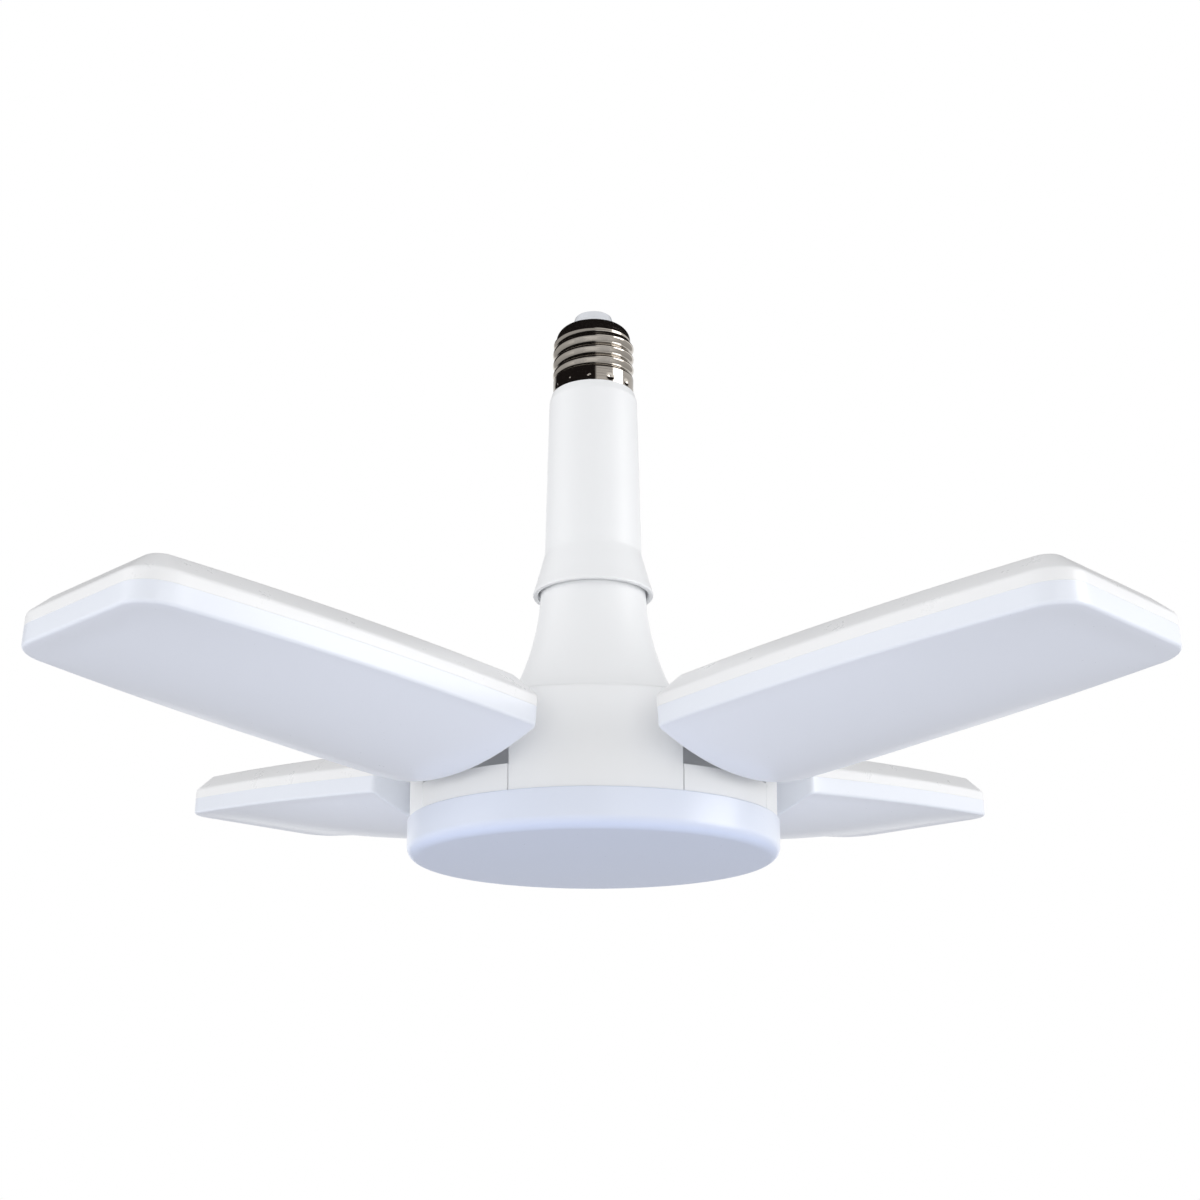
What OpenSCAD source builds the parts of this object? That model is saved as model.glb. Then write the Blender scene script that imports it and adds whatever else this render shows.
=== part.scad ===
// Garage light with four folding panels on a screw cap.
// Millimetres. +Z points up into the lampholder, and the origin is the top of the centre contact.
// The lamp hangs below it: cap, neck, trumpet-shaped housing, pan, and four hinged light panels.

/* [Lamp cap] */
// Diameter over the thread crests of the screw shell
thread_d = 26.3; // [24:0.1:28]
// Distance from crest to crest
thread_pitch = 3.629; // [3:0.001:4.2]
// Depth of the rounded thread
thread_depth = 1.1; // [0.6:0.1:1.4]
// Turns of thread on the shell
thread_turns = 3.75; // [3:0.25:4.5]
// Sheet thickness of the shell under the thread roots
shell_wall = 0.6; // [0.4:0.1:0.8]
// Height of the rounded shoulder above the thread
shoulder_h = 3.8; // [3:0.1:5]
// Height of the plain skirt that shows above the neck
skirt_h = 5.1; // [4:0.1:7]
// Length of skirt that sits down inside the neck
skirt_seat = 2.2; // [1.5:0.1:3]
// Diameter of the insulator where it meets the shell
insulator_d = 14.6; // [13:0.1:16]
// Diameter of the insulator at the contact
insulator_top_d = 9.6; // [9:0.1:11]
// Height of the insulator above the shell
insulator_h = 3.3; // [2.5:0.1:4.5]
// Diameter of the centre contact
contact_d = 9; // [7:0.1:9.4]
// Height of the centre contact above the insulator
contact_h = 1.1; // [0.8:0.1:2]

/* [Neck] */
// Diameter of the neck under its top chamfer
neck_top_d = 28.4; // [28:0.1:32]
// Diameter of the neck where the collar starts to flare
neck_foot_d = 31.2; // [30:0.1:34]
// Height of the tapered part of the neck
neck_h = 52.6; // [45:0.1:70]
// Height of the flared collar
collar_h = 15.1; // [13:0.1:20]
// Diameter over the rim of the collar
collar_d = 38.8; // [37.6:0.1:42]
// Wall of the neck
neck_wall = 1.9; // [1.6:0.1:2.4]
// Height of the chamfer at the top of the neck
neck_chamfer_h = 2.6; // [1:0.1:4]
// Depth of the chamfer at the top of the neck
neck_chamfer = 0.8; // [0.3:0.1:1.2]

/* [Swivel] */
// Diameter of the journal that turns in the neck
journal_d = 19; // [17:0.1:20]
// Diameter of the lead hole through the journal
journal_bore_d = 12; // [10:0.1:13]
// Thickness of the web in the neck that runs on the journal
web_t = 3; // [2.4:0.1:4]
// Thickness of the ring that holds the journal in the web
ring_t = 3; // [2.4:0.1:4]
// Radial running clearance of the journal in the web
journal_gap = 0.1; // [0.05:0.01:0.2]
// Clearance above and below the web
swivel_gap = 0.3; // [0.2:0.05:0.5]
// Half angle that each stop of the swivel takes up
stop_half_angle = 7; // [5:1:7]

/* [Lower housing] */
// Diameter of the housing under the collar
spigot_d = 33.4; // [32:0.1:34]
// Radius of the trumpet curve
trumpet_r = 80; // [76:1:90]
// Height of the pan joint below the top of the trumpet curve
trumpet_h = 78; // [74:0.5:84]
// Height of the spigot above the trumpet curve
spigot_h = 4; // [3:0.1:6]
// Taper of the spigot's radius inside the collar
spigot_taper = 1.9; // [1.5:0.1:2.5]
// Diameter over the legs
hub_d = 114.6; // [112:0.1:120]
// Height of the legs above the pan joint
leg_h = 30.1; // [29:0.1:34]
// Wall of the housing
hub_wall = 2.2; // [1.8:0.1:2.6]
// Rounding of the top edge of the legs
leg_edge_r = 1.2; // [0.5:0.1:2]

/* [Hinges] */
// Distance of each hinge axis from the lamp axis
hinge_r = 49; // [48:0.1:50]
// Height of the hinge axes above the pan joint
hinge_h = 24; // [23:0.1:25]
// Diameter of the hinge pins
pin_d = 4; // [3:0.1:4.6]
// Radial running clearance of the arm on its pin
pin_gap = 0.05; // [0.02:0.01:0.1]
// Half width of the pocket between two legs
pocket_half_w = 18.7; // [18:0.1:19.4]
// Distance of the back of the pocket from the hinge axis
pocket_back = 7.5; // [6.8:0.1:8]
// Thickness of the ears on both sides of a pocket
ear_t = 3; // [2.4:0.1:3.4]
// Diameter of the knuckle on the arm
knuckle_d = 8.8; // [8:0.1:9.6]
// Half width of the knuckle
knuckle_half_w = 15; // [12:0.1:16]
// Thickness of the friction washers
washer_t = 0.8; // [0.5:0.1:1.2]
// Thickness of the arm's tongue
tongue_t = 3; // [2.4:0.1:3.2]
// Width of the arm's tongue
tongue_w = 24; // [20:0.1:26]
// Length of the tongue inside the panel
tongue_in = 20; // [16:0.5:24]

/* [Pan and centre light] */
// Height of the wall segments between the legs
pan_wall_h = 7.8; // [7:0.1:9]
// Thickness of the pan floor
pan_floor = 2; // [1.6:0.1:2.6]
// Gap between the pan and the legs
pan_gap = 0.3; // [0.2:0.05:0.5]
// How far the round diffuser stands out beyond the legs
disc_lip = 0.8; // [0.3:0.1:3]
// Height of the wall of the round diffuser
disc_wall_h = 9.4; // [8:0.1:12]
// Rounding between the wall and the face of the round diffuser
disc_edge_r = 3; // [2:0.1:4]
// Crown of the face of the round diffuser
disc_crown = 0.8; // [0.3:0.1:2]
// Wall of the diffusers
lens_wall = 1.6; // [1.2:0.1:2]

/* [Panels] */
// Tilt of the panels above level, as photographed
panel_tilt = 5; // [2:0.5:8]
// Length of a panel
panel_l = 121.7; // [110:0.1:140]
// Half width of a panel at the hinge end
panel_in_w = 38.8; // [36:0.1:39.5]
// Half width of a panel at the outer end
panel_out_w = 31.1; // [29:0.1:36]
// Bow of the long sides
panel_bow = 3; // [1:0.1:4]
// Corner radius at the outer end
panel_out_r = 9.1; // [6:0.1:12]
// Corner radius at the hinge end
panel_in_r = 2; // [1:0.1:3]
// Distance of the panel's end from the hinge axis
panel_setback = 11.7; // [11:0.1:13]
// Height of the hinge axis above the joint of case and diffuser
axis_over_joint = 5.8; // [5.4:0.1:6]
// Height of the case
case_h = 9.1; // [8.8:0.1:10]
// Bevel round the back of the case
case_bevel = 5.6; // [4:0.1:6]
// Wall of the case
case_wall = 2.2; // [1.8:0.1:2.4]
// Height of the diffuser's side wall
lens_side_h = 4; // [3:0.1:5]
// Rounding under the diffuser's side wall
lens_edge_r = 1.2; // [0.8:0.1:2]
// Crown of the diffuser at the hinge end
crown_in = 9; // [6:0.1:9.6]
// Crown of the diffuser at the outer end
crown_out = 0.9; // [0.5:0.1:2]

/* [Electrics] */
// Thickness of the circuit boards
board_t = 1.6; // [1:0.1:2]
// Length of a light chip
chip_l = 3.5; // [3:0.1:4]
// Width of a light chip
chip_w = 2.8; // [2.4:0.1:3]
// Height of a light chip
chip_h = 0.7; // [0.5:0.1:0.9]
// Chips along a panel
chips_long = 10; // [6:1:12]
// Rows of chips on a panel
chip_rows = 3; // [2:1:4]
// Diameter of the driver board
driver_d = 68; // [60:0.5:72]
// Height of the driver board above the pan floor
driver_lift = 4; // [3:0.1:6]
// Diameter of one insulated lead
lead_d = 1.8; // [1.4:0.1:2]

/* [Fasteners] */
// Thread diameter of the screws
screw_d = 2.8; // [2.4:0.1:3]
// Head diameter of the screws
screw_head_d = 5.4; // [5:0.1:5.8]
// Head height of the screws
screw_head_h = 1.4; // [1:0.1:1.5]
// Diameter of the screw bosses
boss_d = 6.4; // [6:0.1:7]
// Distance of the housing screws from the lamp axis
boss_r = 46; // [44:0.1:47]

/* [Hidden] */
$fn = 96;
// Small overlap that makes a cut break through a face
cut = 1;
// Difference in diameter between a pin and its seat
seat_gap = 0.04;

// Heights from the contact down
insulator_z = -contact_h;
shell_top_z = insulator_z - insulator_h;
thread_top_z = shell_top_z - shoulder_h;
thread_bottom_z = thread_top_z - thread_turns * thread_pitch;
neck_top_z = thread_bottom_z - skirt_h;
flare_z = neck_top_z - neck_h;
collar_z = flare_z - collar_h;
shell_in_r = thread_d / 2 - thread_depth - shell_wall;

// Heights of the swivel. The trumpet curve starts a little above the collar rim.
rim_cover = 4.1;
trumpet_z = collar_z + rim_cover;
spigot_z = trumpet_z + spigot_h;
web_z = spigot_z + swivel_gap;
ring_z = web_z + web_t + swivel_gap;

// The joint between the housing and the round diffuser
hub_z = trumpet_z - trumpet_h;
hub_r = hub_d / 2;
disc_d = hub_d + 2 * disc_lip;
leg_z = hub_z + leg_h;
floor_z = hub_z + pan_floor;
hinge_z = hub_z + hinge_h;
pocket_in = hinge_r - pocket_back;
panel_angle = [225, 315, 45, 135];

// Heights in a panel, from the hinge axis
joint_h = -axis_over_joint;
case_top = joint_h + case_h;
ceiling = case_top - case_wall;
board_top = joint_h + 2.2;
board_low = board_top - board_t;
board_inset = case_wall + 2;
screw_l = 8;

// Places of the screws that hold a panel's board
board_screw_x = [34, 74, 112];
board_screw_y = 11;
tongue_screw_x = 10;
tongue_screw_y = 7;

// ---- Shared shapes ----

module screw(length) {
    translate([0, 0, -screw_head_h]) cylinder(d = screw_head_d, h = screw_head_h, $fn = 32);
    translate([0, 0, -0.01]) cylinder(d = screw_d, h = length, $fn = 32);
}

// Puts a shape drawn at a hinge, with +X outwards and Y along the pin, at hinge k
module at_hinge(k) {
    rotate([0, 0, panel_angle[k - 1]]) translate([hinge_r, 0, hinge_z]) children();
}

module on_panel(k) {
    at_hinge(k) rotate([0, -panel_tilt, 0]) children();
}

function side_at(s) =
    panel_in_w + (panel_out_w - panel_in_w) * s / panel_l
    + panel_bow * (1 - pow(2 * s / panel_l - 1, 2));

// Half of the panel's outline, moved inwards by inset: hinge corner, bowed side, outer corner
function half_outline(inset) =
    let (ri = max(panel_in_r - inset, 0.4), ro = max(panel_out_r - inset, 1),
         s_in = inset + ri, s_out = panel_l - inset - ro)
    concat(
        [for (a = [0:30:90])
            [s_in - ri * cos(a), side_at(s_in) - inset - ri + ri * sin(a)]],
        [for (n = [1:7]) let (s = s_in + (s_out - s_in) * n / 8) [s, side_at(s) - inset]],
        [for (a = [0:15:90])
            [s_out + ro * sin(a), side_at(s_out) - inset - ro + ro * cos(a)]]);

module panel_outline(inset) {
    half = half_outline(inset);
    last = len(half) - 1;
    polygon(concat(half, [for (i = [0:last]) [half[last - i][0], -half[last - i][1]]]));
}

module panel_slab(inset, low, high) {
    translate([panel_setback, 0, low]) linear_extrude(height = high - low) panel_outline(inset);
}

// A thin slice across the panel, whose lower edge is crowned
module crown_slice(s, inset, depth, crown) {
    w = side_at(s) - inset;
    translate([panel_setback + s, 0, joint_h]) rotate([90, 0, 90]) linear_extrude(height = 0.02)
        polygon(concat(
            [[w, -1], [-w, -1]],
            [for (n = [-8:8]) [w * n / 8, -depth - crown * (1 - pow(n / 8, 2))]]));
}

// The diffuser's body, crowned deep at the hinge end and nearly flat at the outer end
module lens_body(inset) {
    depth = lens_side_h + lens_edge_r - inset;
    r = lens_edge_r;
    far = panel_l - panel_out_r;
    hull() {
        panel_slab(inset, joint_h - depth + r, joint_h);
        panel_slab(inset + 0.3 * r, joint_h - depth + 0.3 * r, joint_h);
        panel_slab(inset + r, joint_h - depth, joint_h);
        crown_slice(inset, inset, depth - r, crown_in);
        crown_slice(inset + 0.3 * r, inset + 0.3 * r, depth - 0.3 * r, crown_in);
        crown_slice(inset + r, inset + r, depth, crown_in);
        crown_slice(far, inset + r, depth, crown_out);
    }
}

// ---- Cap ----

module centre_contact() {
    color("silver") rotate_extrude()
        polygon([[0, 0], [contact_d / 2 - 0.9, 0], [contact_d / 2, -0.8],
                 [contact_d / 2, insulator_z], [0, insulator_z]]);
}

module cap_insulator() {
    plug_h = 2;
    color("white") rotate_extrude() difference() {
        polygon([[0, insulator_z], [insulator_top_d / 2, insulator_z],
                 [insulator_d / 2, shell_top_z], [insulator_d / 2, shell_top_z - plug_h],
                 [0, shell_top_z - plug_h]]);
        // Hole for the lead to the contact
        translate([0, shell_top_z - plug_h - cut])
            square([lead_d / 2 + 0.1, plug_h + insulator_h + cut]);
    }
}

module screw_shell() {
    mid_r = (thread_d - thread_depth) / 2;
    root_r = thread_d / 2 - thread_depth;
    throw = thread_depth / 2;
    color("lightgray") difference() {
        union() {
            // Rounded thread: a round section whose centre circles the axis
            translate([0, 0, thread_bottom_z])
                linear_extrude(height = thread_turns * thread_pitch, twist = -360 * thread_turns,
                               slices = ceil(thread_turns * 12), segments = 28)
                translate([throw, 0]) circle(r = mid_r, $fn = 28);
            // Domed shoulder
            rotate_extrude() difference() {
                translate([0, thread_top_z - 0.6]) square([root_r, shoulder_h + 0.6]);
                difference() {
                    translate([root_r - shoulder_h, thread_top_z])
                        square([shoulder_h + cut, shoulder_h + cut]);
                    translate([root_r - shoulder_h, thread_top_z]) circle(r = shoulder_h);
                }
            }
            // Skirt
            translate([0, 0, neck_top_z - skirt_seat])
                cylinder(d = thread_d - 0.26, h = skirt_h + skirt_seat + 0.6);
        }
        translate([0, 0, neck_top_z - skirt_seat - cut])
            cylinder(r = shell_in_r, h = thread_top_z - neck_top_z + skirt_seat + cut);
        // Inside of the shoulder
        rotate_extrude() intersection() {
            translate([0, thread_top_z - cut]) square([root_r - shell_wall, shoulder_h - shell_wall + cut]);
            union() {
                translate([root_r - shoulder_h, thread_top_z]) circle(r = shoulder_h - shell_wall);
                translate([0, thread_top_z - cut]) square([root_r - shoulder_h, shoulder_h + cut]);
                translate([0, thread_top_z - cut]) square([root_r, cut]);
            }
        }
        translate([0, 0, thread_top_z]) cylinder(d = insulator_d, h = shoulder_h + cut);
        // Round dimples that lock the skirt to the neck
        for (a = [0:45:315]) rotate([0, 0, a + 20])
            translate([thread_d / 2 + 0.35, 0, neck_top_z + 1.5]) sphere(r = 0.8, $fn = 24);
    }
}

// ---- Neck ----

module neck_housing() {
    top_r = neck_top_d / 2;
    foot_r = neck_foot_d / 2;
    plug_r = shell_in_r - 0.05;
    plug_top = thread_top_z - 4;
    plug_wall = 2;
    web_edge = (neck_foot_d / 2) - neck_wall;
    rim = 1.5;
    stop_r = ring_r() + 0.4;
    color("white") {
        rotate_extrude() difference() {
            union() {
                // Outside: chamfer, taper, flare
                polygon([[0, neck_top_z], [top_r - neck_chamfer, neck_top_z],
                         [top_r, neck_top_z - neck_chamfer_h], [foot_r, flare_z],
                         [collar_d / 2 - 0.3, collar_z + 0.9], [collar_d / 2, collar_z + 0.5],
                         [collar_d / 2 - 0.2, collar_z], [0, collar_z]]);
                // Plug that carries the cap
                translate([0, neck_top_z - cut]) square([plug_r, plug_top - neck_top_z + cut]);
            }
            // Seat of the skirt
            translate([plug_r, neck_top_z - skirt_seat])
                square([(thread_d - 0.26) / 2 + 0.05 - plug_r, skirt_seat + cut]);
            // Inside above the web
            polygon([[0, plug_top + cut], [plug_r - plug_wall, plug_top + cut],
                     [plug_r - plug_wall, neck_top_z - skirt_seat - neck_wall],
                     [top_r - neck_wall, neck_top_z - skirt_seat - 2 * neck_wall],
                     [web_edge, web_z + web_t], [0, web_z + web_t]]);
            // Bore of the web
            translate([0, web_z - cut]) square([journal_d / 2 + journal_gap, web_t + 2 * cut]);
            // Inside of the collar
            polygon([[0, web_z], [spigot_d / 2 - spigot_taper + 1, web_z],
                     [collar_d / 2 - rim, collar_z], [collar_d / 2 - rim, collar_z - cut],
                     [0, collar_z - cut]]);
        }
        // Stop of the swivel
        rotate([0, 0, 180 - stop_half_angle]) rotate_extrude(angle = 2 * stop_half_angle)
            translate([stop_r, web_z + web_t]) square([web_edge - stop_r + 0.3, ring_t]);
    }
}

function ring_r() = neck_foot_d / 2 - neck_wall - 1.6;

module swivel_ring() {
    tab_r = neck_foot_d / 2 - neck_wall - 0.4;
    color("gainsboro") difference() {
        union() {
            translate([0, 0, ring_z]) cylinder(r = ring_r(), h = ring_t);
            // Tab that meets the stop
            rotate([0, 0, -stop_half_angle]) rotate_extrude(angle = 2 * stop_half_angle)
                translate([ring_r() - 1, ring_z]) square([tab_r - ring_r() + 1, ring_t]);
        }
        translate([0, 0, ring_z - cut]) cylinder(d = journal_bore_d, h = ring_t + 2 * cut);
        for (a = ring_screw_angles) rotate([0, 0, a]) translate([ring_screw_r(), 0, ring_z - cut])
            cylinder(d = 2, h = ring_t + 2 * cut, $fn = 32);
    }
}

ring_screw_angles = [90, 270];
function ring_screw_r() = (journal_d + journal_bore_d) / 4;

module ring_screws() {
    color("silver") for (a = ring_screw_angles)
        rotate([0, 0, a]) translate([ring_screw_r(), 0, ring_z + ring_t]) {
            cylinder(d = 3, h = 1.2, $fn = 32);
            translate([0, 0, -ring_t - 5]) cylinder(d = 2, h = ring_t + 5.01, $fn = 32);
        }
}

// Two leads on the axis, from the cap through the journal to the terminal
module supply_leads() {
    low = terminal_top() + 0.3;
    turn_z = thread_top_z - 2;
    gap = lead_d / 2 + 0.1;
    color("white") translate([gap, 0, low]) cylinder(d = lead_d, h = turn_z - low, $fn = 24);
    color("white") translate([gap, 0, turn_z]) rotate([0, 90, 0])
        cylinder(d = lead_d, h = shell_in_r - gap, $fn = 24);
    color("black") {
        translate([-gap, 0, low]) cylinder(d = lead_d, h = shell_top_z - 4 - low, $fn = 24);
        translate([0, 0, shell_top_z - 4 - lead_d / 2]) rotate([0, -90, 0])
            cylinder(d = lead_d, h = gap + lead_d / 2, $fn = 24);
        translate([0, 0, shell_top_z - 4 - lead_d])
            cylinder(d = lead_d, h = insulator_z - shell_top_z + 4 + lead_d, $fn = 24);
    }
}

// ---- Lower housing and pan ----

// The section of the housing, drawn at a distance inside its outer surface
module hub_profile(depth) {
    top = spigot_z - depth;
    leg_top = leg_z - depth;
    out_r = hub_r - depth;
    edge = max(leg_edge_r - depth, 0);
    // Trumpet and spigot
    difference() {
        translate([0, leg_top - cut]) square([spigot_d / 2 + trumpet_r / 2, top - leg_top + cut]);
        translate([spigot_d / 2 + trumpet_r, trumpet_z]) circle(r = trumpet_r + depth, $fn = 180);
        translate([spigot_d / 2 - depth, trumpet_z]) square([trumpet_r, top - trumpet_z + cut]);
        // Taper inside the collar
        polygon([[spigot_d / 2 - depth, collar_z + 1],
                 [spigot_d / 2 - depth - spigot_taper, spigot_z],
                 [spigot_d / 2 - depth - spigot_taper, spigot_z + cut],
                 [spigot_d / 2 + trumpet_r, spigot_z + cut],
                 [spigot_d / 2 + trumpet_r, collar_z + 1]]);
    }
    // Legs, whose top edge is rounded outside and sharp inside
    translate([0, hub_z]) square([out_r, leg_top - edge - hub_z]);
    if (edge > 0) {
        translate([0, leg_top - edge - cut]) square([out_r - edge, edge + cut]);
        translate([out_r - edge, leg_top - edge]) circle(r = edge, $fn = 32);
    }
}

module pocket(grow) {
    out = hub_r;
    translate([-pocket_back - grow, -pocket_half_w - grow, -hinge_h - cut])
        cube([out, 2 * (pocket_half_w + grow), leg_h + 3 * cut]);
}

module lower_housing() {
    color("white") difference() {
        union() {
            difference() {
                rotate_extrude() hub_profile(0);
                rotate_extrude() hub_profile(hub_wall);
                translate([0, 0, hub_z - cut]) cylinder(r = hub_r - hub_wall, h = cut + 0.1);
            }
            // Walls of the four hinge pockets
            intersection() {
                translate([0, 0, floor_z]) cylinder(r = hub_r - 0.5, h = leg_h - pan_floor - 0.6);
                for (k = [1:4]) at_hinge(k) pocket(ear_t);
            }
            // Journal of the swivel
            translate([0, 0, spigot_z - hub_wall]) cylinder(d = journal_d, h = ring_z - spigot_z + hub_wall);
            // Screw bosses in the legs
            for (a = [0:90:270]) rotate([0, 0, a]) translate([boss_r, 0, floor_z])
                cylinder(d = boss_d, h = leg_h - pan_floor - 1, $fn = 48);
        }
        for (k = [1:4]) at_hinge(k) {
            pocket(0);
            // Saddles for the pin, open downwards
            rotate([90, 0, 0]) translate([0, 0, -pin_half_l()])
                cylinder(d = pin_d + seat_gap, h = 2 * pin_half_l());
            translate([-(pin_d + seat_gap) / 2, -pin_half_l(), -hinge_h - cut])
                cube([pin_d + seat_gap, 2 * pin_half_l(), hinge_h + cut]);
        }
        translate([0, 0, spigot_z - hub_wall - cut])
            cylinder(d = journal_bore_d, h = ring_z - spigot_z + hub_wall + 2 * cut);
        for (a = ring_screw_angles) rotate([0, 0, a])
            translate([ring_screw_r(), 0, ring_z - 5]) cylinder(d = 2, h = 5 + cut, $fn = 32);
        for (a = [0:90:270]) rotate([0, 0, a]) translate([boss_r, 0, floor_z - cut])
            cylinder(d = screw_d, h = screw_l + cut, $fn = 32);
    }
}

function pin_half_l() = pocket_half_w + ear_t;

module light_pan() {
    post_w = pin_d - 0.3;
    color("white") difference() {
        union() {
            // Floor inside the legs
            translate([0, 0, hub_z]) cylinder(r = hub_r - hub_wall - pan_gap, h = pan_floor);
            // Wall segments that close the pockets below the panels
            for (k = [1:4]) intersection() {
                translate([0, 0, hub_z]) difference() {
                    cylinder(r = hub_r, h = pan_wall_h);
                    translate([0, 0, pan_floor]) cylinder(r = hub_r - hub_wall, h = pan_wall_h);
                }
                at_hinge(k) translate([0, -pocket_half_w + pan_gap, -hinge_h - cut])
                    cube([hub_r, 2 * (pocket_half_w - pan_gap), hinge_h]);
            }
            // Posts that close the saddles under the pins
            for (k = [1:4], s = [-1, 1]) at_hinge(k)
                translate([-post_w / 2, s * (pocket_half_w + ear_t / 2) - ear_t / 2, -hinge_h + pan_floor])
                cube([post_w, ear_t, hinge_h - pan_floor]);
            // Standoffs of the driver board
            for (a = driver_post_angles) rotate([0, 0, a])
                translate([driver_post_r(), 0, floor_z - 0.1])
                cylinder(d = 5, h = driver_lift + 0.1, $fn = 32);
        }
        for (k = [1:4]) at_hinge(k) rotate([90, 0, 0]) translate([0, 0, -pin_half_l() - cut])
            cylinder(d = pin_d + seat_gap, h = 2 * (pin_half_l() + cut));
        for (a = [0:90:270]) rotate([0, 0, a]) translate([boss_r, 0, hub_z - cut])
            cylinder(d = screw_d, h = pan_floor + 2 * cut, $fn = 32);
        // Holes of the leads to the round board
        for (a = board_lead_angles) rotate([0, 0, a]) translate([board_lead_r, 0, hub_z - cut])
            cylinder(d = lead_d + 0.6, h = pan_floor + 2 * cut, $fn = 32);
    }
}

module housing_screws() {
    color("silver") for (a = [0:90:270]) rotate([0, 0, a])
        translate([boss_r, 0, hub_z - board_t]) screw(board_t + pan_floor + screw_l);
}

// ---- Driver ----

driver_post_angles = [30, 150, 270];
board_lead_angles = [205, 215];
board_lead_r = 28;
function driver_post_r() = driver_d / 2 - 5;
function driver_z() = floor_z + driver_lift;
function driver_top() = driver_z() + board_t;
function terminal_top() = driver_top() + 8;

module driver_board() {
    color("darkgreen") translate([0, 0, driver_z()]) cylinder(d = driver_d, h = board_t);
}

// Two short leads from the driver board down to the round board
module board_leads() {
    color("red") for (a = board_lead_angles) rotate([0, 0, a])
        translate([board_lead_r, 0, hub_z]) cylinder(d = lead_d, h = driver_z() - hub_z, $fn = 24);
}

module driver_capacitors() {
    color("darkslategray") for (p = [[20, 10], [20, -10]])
        translate([p[0], p[1], driver_top()]) {
            cylinder(d = 10, h = 12, $fn = 48);
            translate([0, 0, 12]) cylinder(d = 8.4, h = 0.4, $fn = 48);
        }
}

module driver_transformer() {
    color("goldenrod") translate([-20, 0, driver_top()]) {
        translate([-8, -9, 0]) cube([16, 18, 2]);
        translate([-6, -7, 2]) cube([12, 14, 9]);
        translate([-8, -9, 11]) cube([16, 18, 1.6]);
    }
}

module driver_terminal() {
    color("white") translate([-5, -5, driver_top()]) cube([10, 10, 8]);
}

// ---- Round light under the pan ----

module centre_board() {
    color("whitesmoke") difference() {
        translate([0, 0, hub_z - board_t]) cylinder(r = hub_r - hub_wall - 3, h = board_t);
        for (a = [0:90:270]) rotate([0, 0, a]) translate([boss_r, 0, hub_z - board_t - cut])
            cylinder(d = screw_d, h = board_t + 2 * cut, $fn = 32);
    }
}

module chip() {
    translate([-chip_l / 2, -chip_w / 2, -chip_h]) cube([chip_l, chip_w, chip_h]);
}

module centre_chips() {
    color("lightyellow") for (ring = [[8, 14], [16, 26], [24, 37.5]], n = [0:ring[0] - 1])
        rotate([0, 0, 360 * (n + 0.5) / ring[0]]) translate([ring[1], 0, hub_z - board_t]) chip();
}

// Height of the crowned face above its lowest point, at a distance from the axis
function face_rise(x) = disc_crown * pow(x / (disc_d / 2 - disc_edge_r), 2);

module disc_profile(inset) {
    r = disc_d / 2 - inset;
    low = hub_z - disc_wall_h;
    edge = disc_edge_r - inset;
    flat_r = disc_d / 2 - disc_edge_r;
    face = low - edge;
    translate([0, low]) square([r, disc_wall_h]);
    translate([flat_r, low]) circle(r = edge, $fn = 48);
    polygon(concat(
        [[0, low + 0.1], [0, face - disc_crown]],
        [for (n = [1:10]) [flat_r * n / 10, face - disc_crown + face_rise(flat_r * n / 10)]],
        [[flat_r, low + 0.1]]));
}

module centre_diffuser() {
    color("aliceblue") difference() {
        rotate_extrude() disc_profile(0);
        rotate_extrude() disc_profile(lens_wall);
        translate([0, 0, hub_z - 1]) cylinder(r = disc_d / 2 - lens_wall, h = 1 + cut);
    }
}

// ---- Hinges ----

module hinge_pin(k) {
    color("silver") at_hinge(k) rotate([90, 0, 0]) translate([0, 0, -pin_half_l()])
        cylinder(d = pin_d, h = 2 * pin_half_l());
}

module hinge_washers(k) {
    color("dimgray") at_hinge(k) for (s = [-1, 1]) rotate([90 * s, 0, 0])
        translate([0, 0, knuckle_half_w]) difference() {
            for (n = [0, 1, 2])
                translate([0, 0, n * (pocket_half_w - knuckle_half_w) / 3 + 0.05])
                cylinder(d = knuckle_d - 0.8 - 0.6 * (n % 2), h = washer_t, $fn = 48);
            translate([0, 0, -cut]) cylinder(d = pin_d + 0.1, h = 6, $fn = 48);
        }
}

module hinge_arm(k) {
    reach = panel_setback + tongue_in;
    color("lightgray") on_panel(k) difference() {
        union() {
            rotate([90, 0, 0]) translate([0, 0, -knuckle_half_w])
                cylinder(d = knuckle_d, h = 2 * knuckle_half_w);
            translate([0, -tongue_w / 2, ceiling - tongue_t]) cube([reach, tongue_w, tongue_t]);
        }
        rotate([90, 0, 0]) translate([0, 0, -knuckle_half_w - cut])
            cylinder(d = pin_d + 2 * pin_gap, h = 2 * (knuckle_half_w + cut));
        for (s = [-1, 1])
            translate([panel_setback + tongue_screw_x, s * tongue_screw_y, ceiling - tongue_t - cut])
            cylinder(d = screw_d, h = tongue_t + 2 * cut, $fn = 32);
    }
}

// ---- Panels ----

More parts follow.
